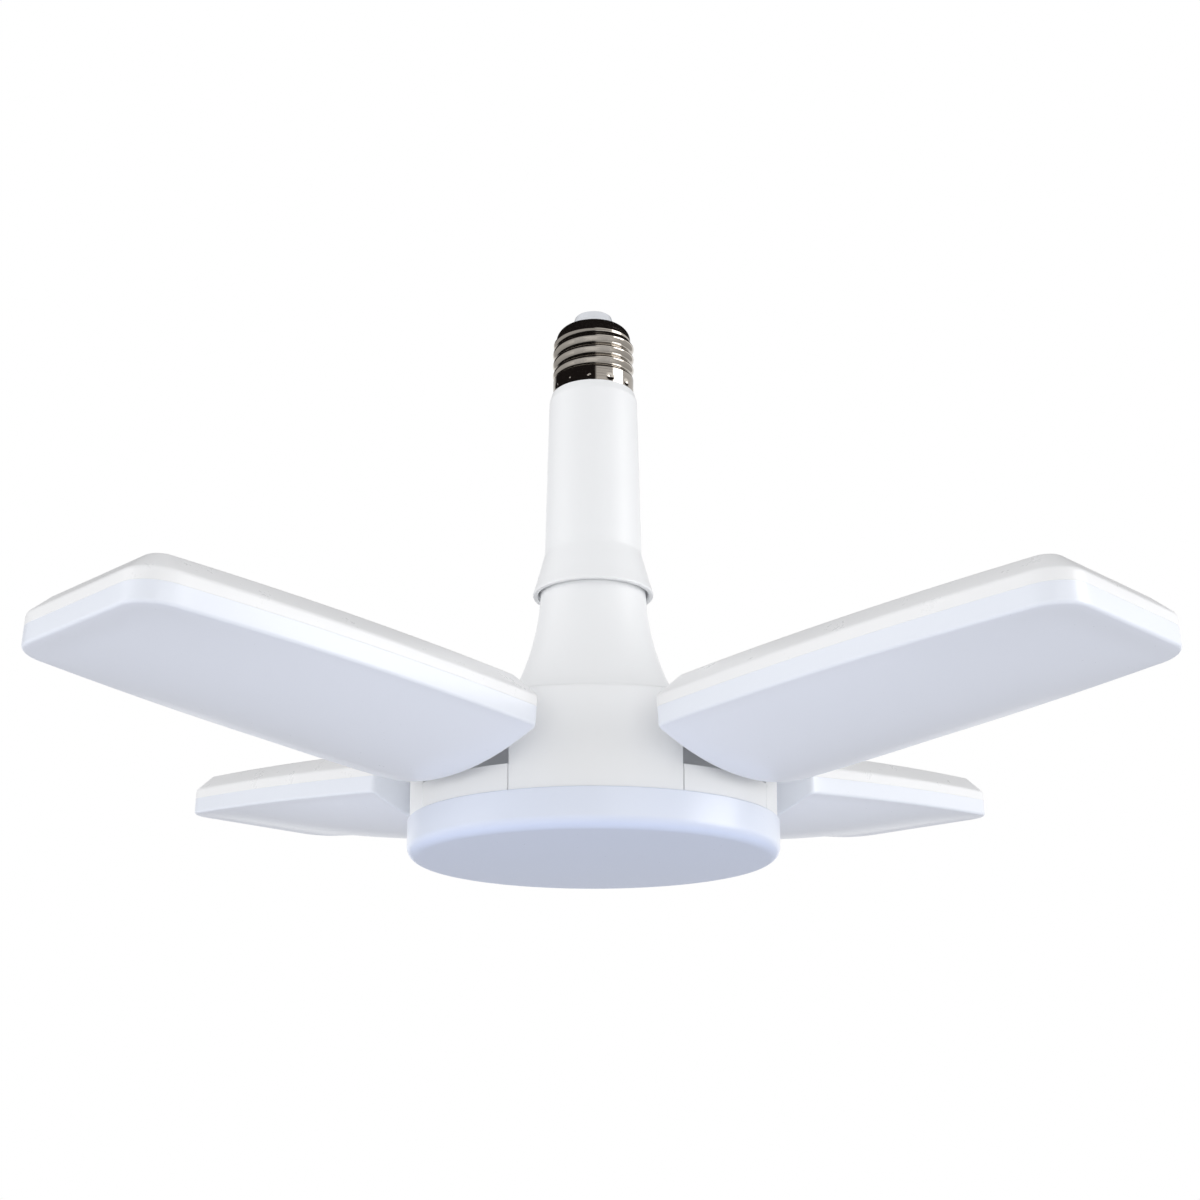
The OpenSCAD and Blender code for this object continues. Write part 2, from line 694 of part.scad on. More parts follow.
module panel_case(k) {
    bevel_z = case_top - case_bevel;
    inner = case_wall;
    color("white") on_panel(k) difference() {
        union() {
            difference() {
                hull() {
                    panel_slab(0, joint_h, bevel_z);
                    panel_slab(case_bevel, bevel_z, case_top);
                }
                hull() {
                    panel_slab(inner, joint_h - cut, bevel_z - inner / 3);
                    panel_slab(inner + case_bevel - inner / 3, bevel_z, ceiling);
                }
            }
            // Bosses of the board screws
            for (x = board_screw_x, s = [-1, 1])
                translate([panel_setback + x, s * board_screw_y, board_top])
                cylinder(d = boss_d, h = ceiling - board_top + 0.1, $fn = 32);
        }
        // Slot for the arm
        translate([panel_setback - cut, -tongue_w / 2, ceiling - tongue_t])
            cube([case_bevel + inner + 2 * cut, tongue_w, tongue_t]);
        for (x = board_screw_x, s = [-1, 1])
            translate([panel_setback + x, s * board_screw_y, board_top - cut])
            cylinder(d = screw_d, h = ceiling - board_top + cut, $fn = 32);
        for (s = [-1, 1])
            translate([panel_setback + tongue_screw_x, s * tongue_screw_y, ceiling - cut])
            cylinder(d = screw_d, h = cut + 1.2, $fn = 32);
    }
}

module panel_board(k) {
    color("whitesmoke") on_panel(k) difference() {
        panel_slab(board_inset, board_low, board_top);
        for (x = board_screw_x, s = [-1, 1])
            translate([panel_setback + x, s * board_screw_y, board_low - cut])
            cylinder(d = screw_d, h = board_t + 2 * cut, $fn = 32);
    }
}

module panel_chips(k) {
    pitch_x = (panel_l - 20) / chips_long;
    pitch_y = 22;
    color("lightyellow") on_panel(k)
        for (i = [0:chips_long - 1], j = [0:chip_rows - 1])
            translate([panel_setback + 10 + pitch_x * (i + 0.5),
                       pitch_y * (j - (chip_rows - 1) / 2) * (1 - 0.012 * i), board_low]) chip();
}

module panel_screws(k) {
    board_screw_l = board_t + ceiling - board_top - 0.2;
    color("silver") on_panel(k) {
        for (x = board_screw_x, s = [-1, 1])
            translate([panel_setback + x, s * board_screw_y, board_low]) screw(board_screw_l);
        for (s = [-1, 1])
            translate([panel_setback + tongue_screw_x, s * tongue_screw_y, ceiling - tongue_t])
            screw(tongue_t + 1.1);
    }
}

module panel_diffuser(k) {
    color("aliceblue") on_panel(k) difference() {
        lens_body(0);
        lens_body(lens_wall);
        panel_slab(lens_wall, joint_h - 1, joint_h + cut);
    }
}

centre_contact();
cap_insulator();
screw_shell();
neck_housing();
supply_leads();
swivel_ring();
ring_screws();
lower_housing();
light_pan();
housing_screws();
driver_board();
driver_capacitors();
driver_transformer();
driver_terminal();
board_leads();
centre_board();
centre_chips();
centre_diffuser();
for (k = [1:4]) {
    hinge_pin(k);
    hinge_washers(k);
    hinge_arm(k);
    panel_case(k);
    panel_board(k);
    panel_chips(k);
    panel_screws(k);
    panel_diffuser(k);
}
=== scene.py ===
"""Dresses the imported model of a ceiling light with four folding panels."""
import math

import bmesh
import bpy
import numpy as np
from bpy.props import (FloatProperty, FloatVectorProperty, IntProperty,
                       PointerProperty)
from mathutils import Matrix, Vector


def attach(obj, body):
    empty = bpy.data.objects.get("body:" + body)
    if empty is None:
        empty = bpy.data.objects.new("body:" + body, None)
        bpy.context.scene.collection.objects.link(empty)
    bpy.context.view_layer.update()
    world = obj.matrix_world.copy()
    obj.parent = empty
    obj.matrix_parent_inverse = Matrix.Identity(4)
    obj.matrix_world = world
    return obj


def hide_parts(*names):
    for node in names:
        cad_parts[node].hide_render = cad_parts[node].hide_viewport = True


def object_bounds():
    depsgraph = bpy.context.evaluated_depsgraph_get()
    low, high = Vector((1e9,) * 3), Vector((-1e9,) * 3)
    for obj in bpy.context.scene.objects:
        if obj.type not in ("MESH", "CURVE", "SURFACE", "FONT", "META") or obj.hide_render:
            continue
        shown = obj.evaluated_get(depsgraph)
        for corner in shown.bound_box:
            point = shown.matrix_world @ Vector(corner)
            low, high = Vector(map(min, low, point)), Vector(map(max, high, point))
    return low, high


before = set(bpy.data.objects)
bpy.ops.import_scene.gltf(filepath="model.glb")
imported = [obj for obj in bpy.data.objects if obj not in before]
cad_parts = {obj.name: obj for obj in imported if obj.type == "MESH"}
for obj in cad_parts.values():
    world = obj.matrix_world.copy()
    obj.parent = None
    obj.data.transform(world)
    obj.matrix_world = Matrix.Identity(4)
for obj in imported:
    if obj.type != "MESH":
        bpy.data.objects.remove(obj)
CAD_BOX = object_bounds()

bl_info = {
    "name": "Folding Panel Light",
    "version": (1, 0, 0),
    "blender": (4, 5, 0),
    "location": "3D View > Sidebar > Light",
    "description": "Smooth shells, finishes and a studio for a folding panel light",
    "category": "Object",
}

MM = 0.001

# ---- Sizes shared with the CAD source, in millimetres ----

CONTACT_H = 1.1
INSULATOR_H = 3.3
SHOULDER_H = 3.8
SKIRT_H = 5.1
SKIRT_SEAT = 2.2
THREAD_D = 26.3
THREAD_DEPTH = 1.1
THREAD_PITCH = 3.629
THREAD_TURNS = 3.75
SHELL_WALL = 0.6
INSULATOR_D = 14.6
NECK_TOP_D = 28.4
NECK_FOOT_D = 31.2
NECK_H = 52.6
COLLAR_H = 15.1
NECK_WALL = 1.9
NECK_CHAMFER_H = 2.6
NECK_CHAMFER = 0.8
JOURNAL_D = 19.0
JOURNAL_BORE_D = 12.0
WEB_T = 3.0
SWIVEL_GAP = 0.3
SPIGOT_D = 33.4
SPIGOT_H = 4.0
SPIGOT_TAPER = 1.9
TRUMPET_R = 80.0
TRUMPET_H = 78.0
RIM_COVER = 4.1
HUB_D = 114.6
LEG_H = 30.1
HUB_WALL = 2.2
LEG_EDGE_R = 1.2
HINGE_R = 49.0
HINGE_H = 24.0
POCKET_HALF_W = 18.7
POCKET_BACK = 7.5
EAR_T = 3.0
DISC_D = 116.2
LENS_WALL = 1.6
PANEL_TILT = 5.0
PANEL_L = 121.7
PANEL_IN_W = 38.8
PANEL_OUT_W = 31.1
PANEL_BOW = 3.0
PANEL_IN_R = 2.0
PANEL_SETBACK = 11.7
AXIS_OVER_JOINT = 5.8
CASE_H = 9.1
CASE_WALL = 2.2
PANEL_ANGLES = (225, 315, 45, 135)

SHELL_TOP_Z = -CONTACT_H - INSULATOR_H
THREAD_TOP_Z = SHELL_TOP_Z - SHOULDER_H
THREAD_BOTTOM_Z = THREAD_TOP_Z - THREAD_TURNS * THREAD_PITCH
NECK_TOP_Z = THREAD_BOTTOM_Z - SKIRT_H
FLARE_Z = NECK_TOP_Z - NECK_H
COLLAR_Z = FLARE_Z - COLLAR_H
TRUMPET_Z = COLLAR_Z + RIM_COVER
SPIGOT_Z = TRUMPET_Z + SPIGOT_H
WEB_Z = SPIGOT_Z + SWIVEL_GAP
RING_Z = WEB_Z + WEB_T + SWIVEL_GAP
HUB_Z = TRUMPET_Z - TRUMPET_H
LEG_Z = HUB_Z + LEG_H
HINGE_Z = HUB_Z + HINGE_H
JOINT_Z = -AXIS_OVER_JOINT
CASE_TOP = JOINT_Z + CASE_H

# ---- Outlines drawn closer to the photograph than the solids are, inside their box ----

DISC_WALL_H = 8.1
DISC_EDGE_R = 3.7
DISC_CROWN = 0.8
DISC_SEAT_CHAMFER = 0.3
PANEL_OUT_R = 10.8
JOINT_CHAMFER = 0.08
CASE_BEVEL = 5.85
CASE_FLAT = 4.0
CASE_INNER_FLAT = 3.0
LENS_SIDE_H = 4.7
LENS_EDGE_R = 1.0
LENS_SPINE_SETBACK = 30.0
CROWN = 8.8
CROWN_REACH = 0.93
CREASE_D = 31.0
CREASE_H = 13.6
COLLAR_RIM_D = 38.6
COLLAR_RIM_H = 0.6
COLLAR_RIM_W = 1.5
COLLAR_BELLY_H = 3.2
COLLAR_BELLY_STEP = 0.9
COLLAR_BELLY_R = 4.0
INSULATOR_TOP_D = 11.8
INSULATOR_RIM_D = 9.2
INSULATOR_RIM_DROP = 0.05
INSULATOR_SEAT = 0.6
INSULATOR_PLAY = 0.1

# ---- The screw shell's skirt, thread ends and dimples, in millimetres and degrees ----

SKIRT_STEP = 0.26
THREAD_FADE = 1.6
THREAD_RUNOUT = 0.4
SHOULDER_STEP = 6
SHELL_ROW_H = 0.17
SHELL_SEGMENTS = 192
DIMPLES = 12
DIMPLE_TURN = 30
DIMPLE_START = 24
DIMPLE_RISE = 1.5
DIMPLE_DEPTH = 0.35
DIMPLE_SPREAD = 0.3
DIMPLE_REACH = 2
# Radii between which the thread's roots are painted darker, as painted shade, and made rougher
THREAD_SHADED_DULL_R = 12.1
THREAD_BRIGHT_R = 13.0

# ---- Inside of the neck, small edges, and the least radii of inner walls ----

NECK_LIP = 2.05
NECK_SEAT_PLAY = 0.05
JOURNAL_PLAY = 0.1
SPIGOT_COVER = 1
SPIGOT_CHAMFER = 0.3
TRUMPET_ROOM = 2
MIN_EDGE_R = 0.3
MIN_IN_R = 0.4
MIN_OUT_R = 1.0
POCKET_EDGE_R = 0.35
POCKET_EDGE_TURN = 50
POCKET_EDGE_H = 5
POCKET_EDGE_OUT = 30

# ---- The camera of the photograph ----

CAMERA_PLACE = (-8.25, -541.77, -273.55)
CAMERA_HEADING = 0.01066
CAMERA_PITCH = 0.14861
CAMERA_ROLL = 0.00453
PHOTO_SIDE = 1200
FOCAL_PIXELS = 1758.47
CENTRE_X = 547.9
CENTRE_Y = 900.0
SENSOR = 36.0
CLIP_NEAR = 0.01
CLIP_FAR = 50

# ---- The studio, in metres from the top of the cap ----

LAMP_AIM = (0, 0, -0.12)
SIDE_LAMP_OUT = 1.3
SIDE_LAMP_Y = -0.35
SIDE_LAMP_Z = 0.05
SIDE_LAMP_SIZE = (0.8, 1.2)
FRONT_LAMP_PLACE = (0, -1.6, -0.35)
FRONT_LAMP_SIZE = (1.6, 0.8)
FLOOR_HALF = 30.0
FLOOR_WHITENING = 0.8

# Where the dark room that metal mirrors begins and is full, along each axis
ROOM_RIGHT = (0.2, 0.05)
ROOM_BACK = (0.9, 0.6)
ROOM_BELOW = (-0.85, -0.6)
ROOM_OVERHEAD = (0.36, 0.5)
ROOM_COLOUR = (0.012, 0.010, 0.010)

# ---- Patterns in the finishes: features to a metre, alike or along x, y and z ----

FLOW_MARKS = 22.0
SHEEN_PATCHES = 140.0
MOULD_GRAIN = 1100.0
MOULD_WAVES = 60.0
OPAL_CLOUDS = 16.0
OPAL_HAZE = 900.0
SHELL_STREAKS = (90.0, 90.0, 2400.0)
SHELL_STAINS = 170.0
BRUSHED_LINES = (400.0, 400.0, 3000.0)
METAL_STAINS = 220.0
GLAZE_WAVES = 260.0
BOARD_TRACKS = 130.0
BOARD_PATCHES = 90.0
PHOSPHOR_GRIT = 2400.0
SLEEVE_RIPPLES = (500.0, 500.0, 1400.0)
TAPE_LAYERS = 9000.0
TAPE_GRIT = 1300.0
FLOOR_MOTTLE = 3.0

PLASTIC_IOR = 1.49
OPAL_IOR = 1.52
GLAZE_IOR = 1.5
DARKER = 0.975
LIGHTER = 1.02
# Painted light: a paler colour mixed into the diffusers' side walls, where the upright wall catches
# more light than the face, and the share of it
OPAL_WALL_PAINTED_LIGHT = (0.79, 0.82, 0.87)
OPAL_WALL_LIGHT_SHARE = 0.65

# ---- Fineness of the meshes ----

SHARP_ANGLE = 35
WELD = 0.0005
ROUND_SHARE = 0.48
ROUND_STEPS = 5
NECK_ROUND_STEPS = 6
DISC_EDGE_STEPS = 10
EDGE_TURNS = (22.5, 45, 67.5, 90)
LENS_EDGE_TURN = 18
PANEL_IN_TURN = 18
PANEL_OUT_TURN = 9
TRUMPET_STEPS = 28
DISC_STEPS = 16
LENS_STEPS = 12
LEG_ARC_STEPS = 14
PANEL_SIDE_STEPS = 24
PANEL_IN_STEPS = 9
PANEL_OUT_STEPS = 6


# ---- Properties that a user would change ----

class LightShape(bpy.types.PropertyGroup):
    """Roundings that the moulded shells have beyond the CAD solids"""
    edge_round: FloatProperty(
        name="Edge rounding", description="Radius on both edges of a panel back's bevel",
        default=1.92 * MM, min=0.5 * MM, max=3 * MM, unit="LENGTH")
    neck_round: FloatProperty(
        name="Neck rounding", description="Radius where the neck flares into its collar",
        default=6 * MM, min=2 * MM, max=20 * MM, unit="LENGTH")
    turns_detail: IntProperty(
        name="Round detail", description="Segments round a turned shell",
        default=160, min=48, max=256)


class LightFinish(bpy.types.PropertyGroup):
    """Colours of the finishes"""
    housing: FloatVectorProperty(
        name="Housing", description="Satin white plastic of neck, housing and pan",
        default=(0.86, 0.87, 0.885), subtype="COLOR", min=0, max=1)
    case: FloatVectorProperty(
        name="Panel case", description="White plastic of the panel backs",
        default=(0.86, 0.865, 0.88), subtype="COLOR", min=0, max=1)
    diffuser: FloatVectorProperty(
        name="Diffuser", description="Opal plastic of the diffusers",
        default=(0.81, 0.85, 0.97), subtype="COLOR", min=0, max=1)
    # Painted shade: the round diffuser is the same opal plastic as the panels' diffusers, and this
    # darker colour paints the lesser light that falls on its face
    round_diffuser: FloatVectorProperty(
        name="Round diffuser", description="Opal plastic of the round light under the housing",
        default=(0.67, 0.75, 0.98), subtype="COLOR", min=0, max=1)
    nickel: FloatVectorProperty(
        name="Nickel", description="Plated screw shell",
        default=(0.62, 0.57, 0.51), subtype="COLOR", min=0, max=1)


class LightStudio(bpy.types.PropertyGroup):
    """Floor and lamps"""
    floor_drop: FloatProperty(
        name="Floor below the light", description="Height of the light above the floor",
        default=1.0, min=0.2, max=3, unit="LENGTH")
    side_power: FloatProperty(
        name="Side lamps", description="Power of each side lamp in watts",
        default=8.5, min=0, max=100)
    front_power: FloatProperty(
        name="Front lamp", description="Power of the lamp beside the camera in watts",
        default=6.8, min=0, max=100)
    sky: FloatProperty(
        name="Sky", description="Strength of the light from all round",
        default=0.60, min=0, max=2)


# ---- Shader expressions ----

class Wire:
    """One output of a shader node, used in sums like a number."""

    def __init__(self, finish, socket):
        self.finish = finish
        self.socket = socket

    def maths(self, operation, a, b):
        return self.finish.node("ShaderNodeMath", {"operation": operation}, {0: a, 1: b})

    def __add__(self, other):
        return self.maths("ADD", self, other)

    def __radd__(self, other):
        return self.maths("ADD", other, self)

    def __mul__(self, other):
        return self.maths("MULTIPLY", self, other)

    def __rmul__(self, other):
        return self.maths("MULTIPLY", other, self)


class Finish:
    """A material, or the world, whose nodes are made by expressions."""

    def __init__(self, name, world=False):
        self.material = (bpy.data.worlds if world else bpy.data.materials).new(name)
        self.material.use_nodes = True
        self.tree = self.material.node_tree
        self.tree.nodes.clear()
        self.end = "ShaderNodeOutputWorld" if world else "ShaderNodeOutputMaterial"

    def node(self, kind, settings=None, inputs=None, out=0):
        made = self.tree.nodes.new(kind)
        for key, value in (settings or {}).items():
            setattr(made, key, value)
        for key, value in (inputs or {}).items():
            target = made.inputs[key]
            if isinstance(value, Wire):
                self.tree.links.new(value.socket, target)
            elif isinstance(value, (tuple, list)) and len(value) == 3 \
                    and target.type == "RGBA":
                target.default_value = tuple(value) + (1.0,)
            else:
                target.default_value = value
        return Wire(self, made.outputs[out])

    def place(self):
        return self.node("ShaderNodeTexCoord", out="Object")

    def noise(self, scale, detail=2.0, rough=0.5, vector=None):
        return self.node("ShaderNodeTexNoise", {"noise_dimensions": "3D"},
                         {"Vector": vector or self.place(), "Scale": scale,
                          "Detail": detail, "Roughness": rough})

    def stretched(self, scale):
        return self.node("ShaderNodeVectorMath", {"operation": "MULTIPLY"},
                         {0: self.place(), 1: scale})

    def blend(self, factor, a, b):
        return self.node("ShaderNodeMix", {"data_type": "RGBA"},
                         {"Factor": factor, 6: a, 7: b}, out=2)

    def bump(self, height, strength, distance):
        return self.node("ShaderNodeBump", None,
                         {"Height": height, "Strength": strength, "Distance": distance})

    def surface(self, **inputs):
        names = {key.replace("_", " ").title().replace("Ior", "IOR"): value
                 for key, value in inputs.items()}
        shader = self.node("ShaderNodeBsdfPrincipled", None, names)
        self.node_out(shader)
        return self.material

    def node_out(self, shader):
        end = self.tree.nodes.new(self.end)
        self.tree.links.new(shader.socket, end.inputs["Surface"])


def shade(colour, share):
    return tuple(min(1.0, c * share) for c in colour)


# ---- Finishes ----

def moulded_plastic(name, colour, rough, grain):
    """Injection-moulded plastic: faint flow marks and a fine spark-eroded grain."""
    f = Finish(name)
    flow = f.noise(FLOW_MARKS, 3.0)
    patch = f.noise(SHEEN_PATCHES, 2.0)
    tint = f.blend(flow, shade(colour, DARKER), shade(colour, LIGHTER))
    base = f.blend(patch * 0.25, tint, shade(colour, 0.965))
    fine = f.noise(MOULD_GRAIN, 2.0, 0.6)
    normal = f.bump(fine + f.noise(MOULD_WAVES, 1.0) * 0.6, strength=grain, distance=0.06 * MM)
    return f.surface(base_color=base, roughness=patch * 0.10 + fine * 0.05 + (rough - 0.08),
                     normal=normal, ior=PLASTIC_IOR)


def opal_plastic(name, colour):
    """Milky diffuser plastic with a faint gloss. Its side wall is painted paler, as painted light
    where the upright wall catches more light than the face.
    """
    f = Finish(name)
    # Painted light: the side wall's share, read from the mesh attribute "side", marks where the
    # paler colour is mixed in
    wall = f.node("ShaderNodeAttribute", {"attribute_name": "side"}, out="Fac")
    cloud = f.noise(OPAL_CLOUDS, 2.0)
    face = f.blend(cloud, shade(colour, DARKER), shade(colour, LIGHTER))
    # The paler wall colour, painted light
    pale = tuple((1 - OPAL_WALL_LIGHT_SHARE) * c + OPAL_WALL_LIGHT_SHARE * w
                 for c, w in zip(colour, OPAL_WALL_PAINTED_LIGHT))
    base = f.blend(wall, face, pale)
    haze = f.noise(OPAL_HAZE, 2.0)
    normal = f.bump(haze, strength=0.03, distance=0.1 * MM)
    return f.surface(base_color=base, roughness=haze * 0.06 + 0.26, normal=normal,
                     ior=OPAL_IOR, coat_weight=0.3, coat_roughness=0.2)


def plated_shell(name, colour):
    """Nickel plating: drawn streaks round the thread, and thread roots made rougher and painted
    darker as painted shade.
    """
    f = Finish(name)
    apart = f.node("ShaderNodeSeparateXYZ", None, {0: f.place()})
    x, y = (Wire(f, apart.socket.node.outputs[i]) for i in range(2))
    radius = f.node("ShaderNodeMath", {"operation": "SQRT"}, {0: x * x + y * y})
    # Painted shade: inside these radii the thread's roots are painted darker, and they are also
    # made rougher
    root = f.node("ShaderNodeMapRange", {"clamp": True},
                  {"Value": radius, "From Min": THREAD_SHADED_DULL_R * MM,
                   "From Max": THREAD_BRIGHT_R * MM,
                   "To Min": 1.0, "To Max": 0.0})
    streak = f.noise(1.0, 3.0, 0.6, f.stretched(SHELL_STREAKS))
    stain = f.noise(SHELL_STAINS, 3.0)
    base = f.blend(root * 0.55, colour, shade(colour, 0.55))
    base = f.blend(stain * 0.3, base, shade(colour, 0.78))
    normal = f.bump(streak, strength=0.10, distance=0.08 * MM)
    return f.surface(base_color=base, metallic=1.0,
                     roughness=streak * 0.06 + root * 0.06 + 0.05, normal=normal)


def bright_metal(name, colour, rough):
    """Turned or stamped metal with a fine brushed grain."""
    f = Finish(name)
    brush = f.noise(1.0, 3.0, 0.6, f.stretched(BRUSHED_LINES))
    stain = f.noise(METAL_STAINS, 2.0)
    base = f.blend(stain * 0.5, colour, shade(colour, 0.75))
    return f.surface(base_color=base, metallic=1.0, roughness=brush * 0.15 + rough,
                     normal=f.bump(brush, strength=0.12, distance=0.06 * MM))


def glazed(name, colour):
    """Glossy insulating glass or ceramic with a soft waviness."""
    f = Finish(name)
    wave = f.noise(GLAZE_WAVES, 2.0)
    base = f.blend(wave, shade(colour, 0.97), shade(colour, LIGHTER))
    return f.surface(base_color=base, roughness=wave * 0.08 + 0.14,
                     normal=f.bump(wave, strength=0.06, distance=0.2 * MM), ior=GLAZE_IOR)


def circuit_board(name, mask, trace):
    """Solder mask over a pattern of copper tracks."""
    f = Finish(name)
    grid = f.node("ShaderNodeTexBrick", {"offset": 0.5},
                  {"Vector": f.place(), "Scale": BOARD_TRACKS, "Mortar Size": 0.03,
                   "Color1": (0, 0, 0), "Color2": (0, 0, 0), "Mortar": (1, 1, 1)},
                  out="Fac")
    patch = f.noise(BOARD_PATCHES, 2.0)
    base = f.blend(grid * 0.6, f.blend(patch, shade(mask, 0.92), mask), trace)
    return f.surface(base_color=base, roughness=patch * 0.1 + 0.35,
                     normal=f.bump(grid, strength=0.15, distance=0.05 * MM))


def phosphor(name):
    """Gritty yellow phosphor of the light chips."""
    f = Finish(name)
    grit = f.noise(PHOSPHOR_GRIT, 3.0)
    base = f.blend(grit, (0.86, 0.66, 0.16), (0.93, 0.80, 0.34))
    return f.surface(base_color=base, roughness=grit * 0.2 + 0.4,
                     normal=f.bump(grit, strength=0.2, distance=0.05 * MM))


def sleeve(name, colour, rough):
    """Shrunk or extruded sleeve with a slight ripple."""
    f = Finish(name)
    ripple = f.noise(1.0, 2.0, 0.5, f.stretched(SLEEVE_RIPPLES))
    base = f.blend(ripple, shade(colour, 0.85), shade(colour, 1.1))
    return f.surface(base_color=base, roughness=ripple * 0.1 + rough,
                     normal=f.bump(ripple, strength=0.1, distance=0.1 * MM))


def wound_tape(name):
    """Layers of yellow tape round the transformer."""
    f = Finish(name)
    apart = f.node("ShaderNodeSeparateXYZ", None, {0: f.place()})
    z = Wire(f, apart.socket.node.outputs[2])
    layers = f.node("ShaderNodeMath", {"operation": "SINE"}, {0: z * TAPE_LAYERS})
    grit = f.noise(TAPE_GRIT, 2.0)
    base = f.blend(grit, (0.55, 0.38, 0.05), (0.70, 0.52, 0.10))
    return f.surface(base_color=base, roughness=grit * 0.15 + 0.4,
                     normal=f.bump(layers, strength=0.08, distance=0.05 * MM))


_made = {}


def finish_of(name):
    """The material of a finish, made once."""
    if name not in _made:
        looks = bpy.context.scene.light_finish
        makers = {
            "housing": lambda: moulded_plastic("housing_plastic", tuple(looks.housing),
                                               rough=0.40, grain=0.06),
            "case": lambda: moulded_plastic("case_plastic", tuple(looks.case),
                                            rough=0.30, grain=0.04),
            "lens": lambda: opal_plastic("opal_diffuser", tuple(looks.diffuser)),
            # The round diffuser's finish: the same opal plastic in a darker colour, as painted
            # shade
            "round_lens_shaded": lambda: opal_plastic("opal_round_shaded", tuple(looks.round_diffuser)),
            "shell": lambda: plated_shell("nickel_shell", tuple(looks.nickel)),
            "contact": lambda: bright_metal("tinned_contact", (0.62, 0.60, 0.57), rough=0.18),
            "insulator": lambda: glazed("white_insulator", (0.74, 0.76, 0.80)),
            "steel": lambda: bright_metal("zinc_steel", (0.50, 0.50, 0.52), rough=0.25),
            "board": lambda: circuit_board("white_board", mask=(0.80, 0.80, 0.78),
                                           trace=(0.70, 0.71, 0.70)),
            "driver": lambda: circuit_board("green_board", mask=(0.02, 0.16, 0.06),
                                            trace=(0.05, 0.28, 0.12)),
            "chips": lambda: phosphor("light_chips"),
            "capacitor": lambda: sleeve("capacitor_sleeve", (0.03, 0.035, 0.05), rough=0.3),
            "transformer": lambda: wound_tape("transformer_tape"),
            "terminal": lambda: sleeve("terminal_plastic", (0.70, 0.71, 0.70), rough=0.35),
            "lead": lambda: sleeve("lead_black", (0.02, 0.02, 0.02), rough=0.4),
            "red_lead": lambda: sleeve("lead_red", (0.45, 0.02, 0.02), rough=0.4),
            "arm": lambda: moulded_plastic("arm_plastic", (0.84, 0.84, 0.88),
                                           rough=0.42, grain=0.06),
        }
        _made[name] = makers[name]()
    return _made[name]


def paint_nodes(finish, *nodes):
    for name in nodes:
        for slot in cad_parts[name].material_slots:
            slot.material = finish_of(finish)


# ---- Mesh helpers ----

def piece(name, points, faces, finish, body, nodes, side=None):
    """Makes a mesh from points in millimetres, and hangs it on a CAD body."""
    mesh = bpy.data.meshes.new(name)
    mesh.from_pydata([tuple(c * MM for c in p) for p in points], [], faces)
    # The side shares become the "side" attribute, by which the opal finish paints the diffusers'
    # walls paler as painted light
    if side is not None:
        mark = mesh.attributes.new("side", "FLOAT", "POINT")
        mark.data.foreach_set("value", np.asarray(side, np.float32))
    work = bmesh.new()
    work.from_mesh(mesh)
    bmesh.ops.remove_doubles(work, verts=work.verts, dist=WELD * MM)
    bmesh.ops.recalc_face_normals(work, faces=work.faces)
    work.to_mesh(mesh)
    work.free()
    mesh.polygons.foreach_set("use_smooth", [True] * len(mesh.polygons))
    mesh.set_sharp_from_angle(angle=math.radians(SHARP_ANGLE))
    made = bpy.data.objects.new(name, mesh)
    bpy.context.scene.collection.objects.link(made)
    mesh.materials.append(finish_of(finish))
    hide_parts(*nodes)
    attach(made, body)
    return made


def arc(cx, cy, r, start, end, steps):
    """Points of an arc, angles in degrees."""
    return [(cx + r * math.cos(math.radians(start + (end - start) * i / steps)),
             cy + r * math.sin(math.radians(start + (end - start) * i / steps)))
            for i in range(steps + 1)]


def rounded(corners, steps):
    """A polyline (x, y, radius) with its corners rounded."""
    out = []
    n = len(corners)
    for i, (x, y, r) in enumerate(corners):
        if r <= 0 or i in (0, n - 1):
            out.append((x, y))
            continue
        p = Vector((x, y))
        a = Vector(corners[i - 1][:2]) - p
        b = Vector(corners[i + 1][:2]) - p
        turn = a.angle(b)
        reach = min(r / math.tan(turn / 2), a.length * ROUND_SHARE, b.length * ROUND_SHARE)
        radius = reach * math.tan(turn / 2)
        centre = p + (a.normalized() + b.normalized()).normalized() * radius / math.sin(turn / 2)
        u = (p + a.normalized() * reach) - centre
        v = (p + b.normalized() * reach) - centre
        sweep = u.angle_signed(v)
        for j in range(steps + 1):
            t = -sweep * j / steps
            out.append((centre.x + u.x * math.cos(t) - u.y * math.sin(t),
                        centre.y + u.x * math.sin(t) + u.y * math.cos(t)))
    return out


def circle(r, z, segments):
    """Points of a level ring round the lamp's axis."""
    turns = [2 * math.pi * j / segments for j in range(segments)]
    return [(r * math.cos(a), r * math.sin(a), z) for a in turns]


def turned(profile, segments, closed):
    """Revolves (radius, z) points. A profile that isn't closed starts and ends on the axis."""
    points, faces = [], []
    rows = len(profile)
    for r, z in profile:
        points += circle(r, z, segments)
    last = rows if closed else rows - 1
    for i in range(last):
        k = (i + 1) % rows
        for j in range(segments):
            m = (j + 1) % segments
            quad = [i * segments + j, i * segments + m, k * segments + m, k * segments + j]
            if profile[i][0] < WELD:
                quad.pop(1)
            elif profile[k][0] < WELD:
                quad.pop(2)
            faces.append(quad)
    return points, faces


def loft(rings):
    """Joins rings of equal length with quads, and gives points and faces."""
    points, faces = [], []
    n = len(rings[0])
    for ring in rings:
        points.extend(ring)
    for i in range(len(rings) - 1):
        for j in range(n):
            m = (j + 1) % n
            faces.append([i * n + j, i * n + m, (i + 1) * n + m, (i + 1) * n + j])
    return points, faces


# ---- The pieces ----

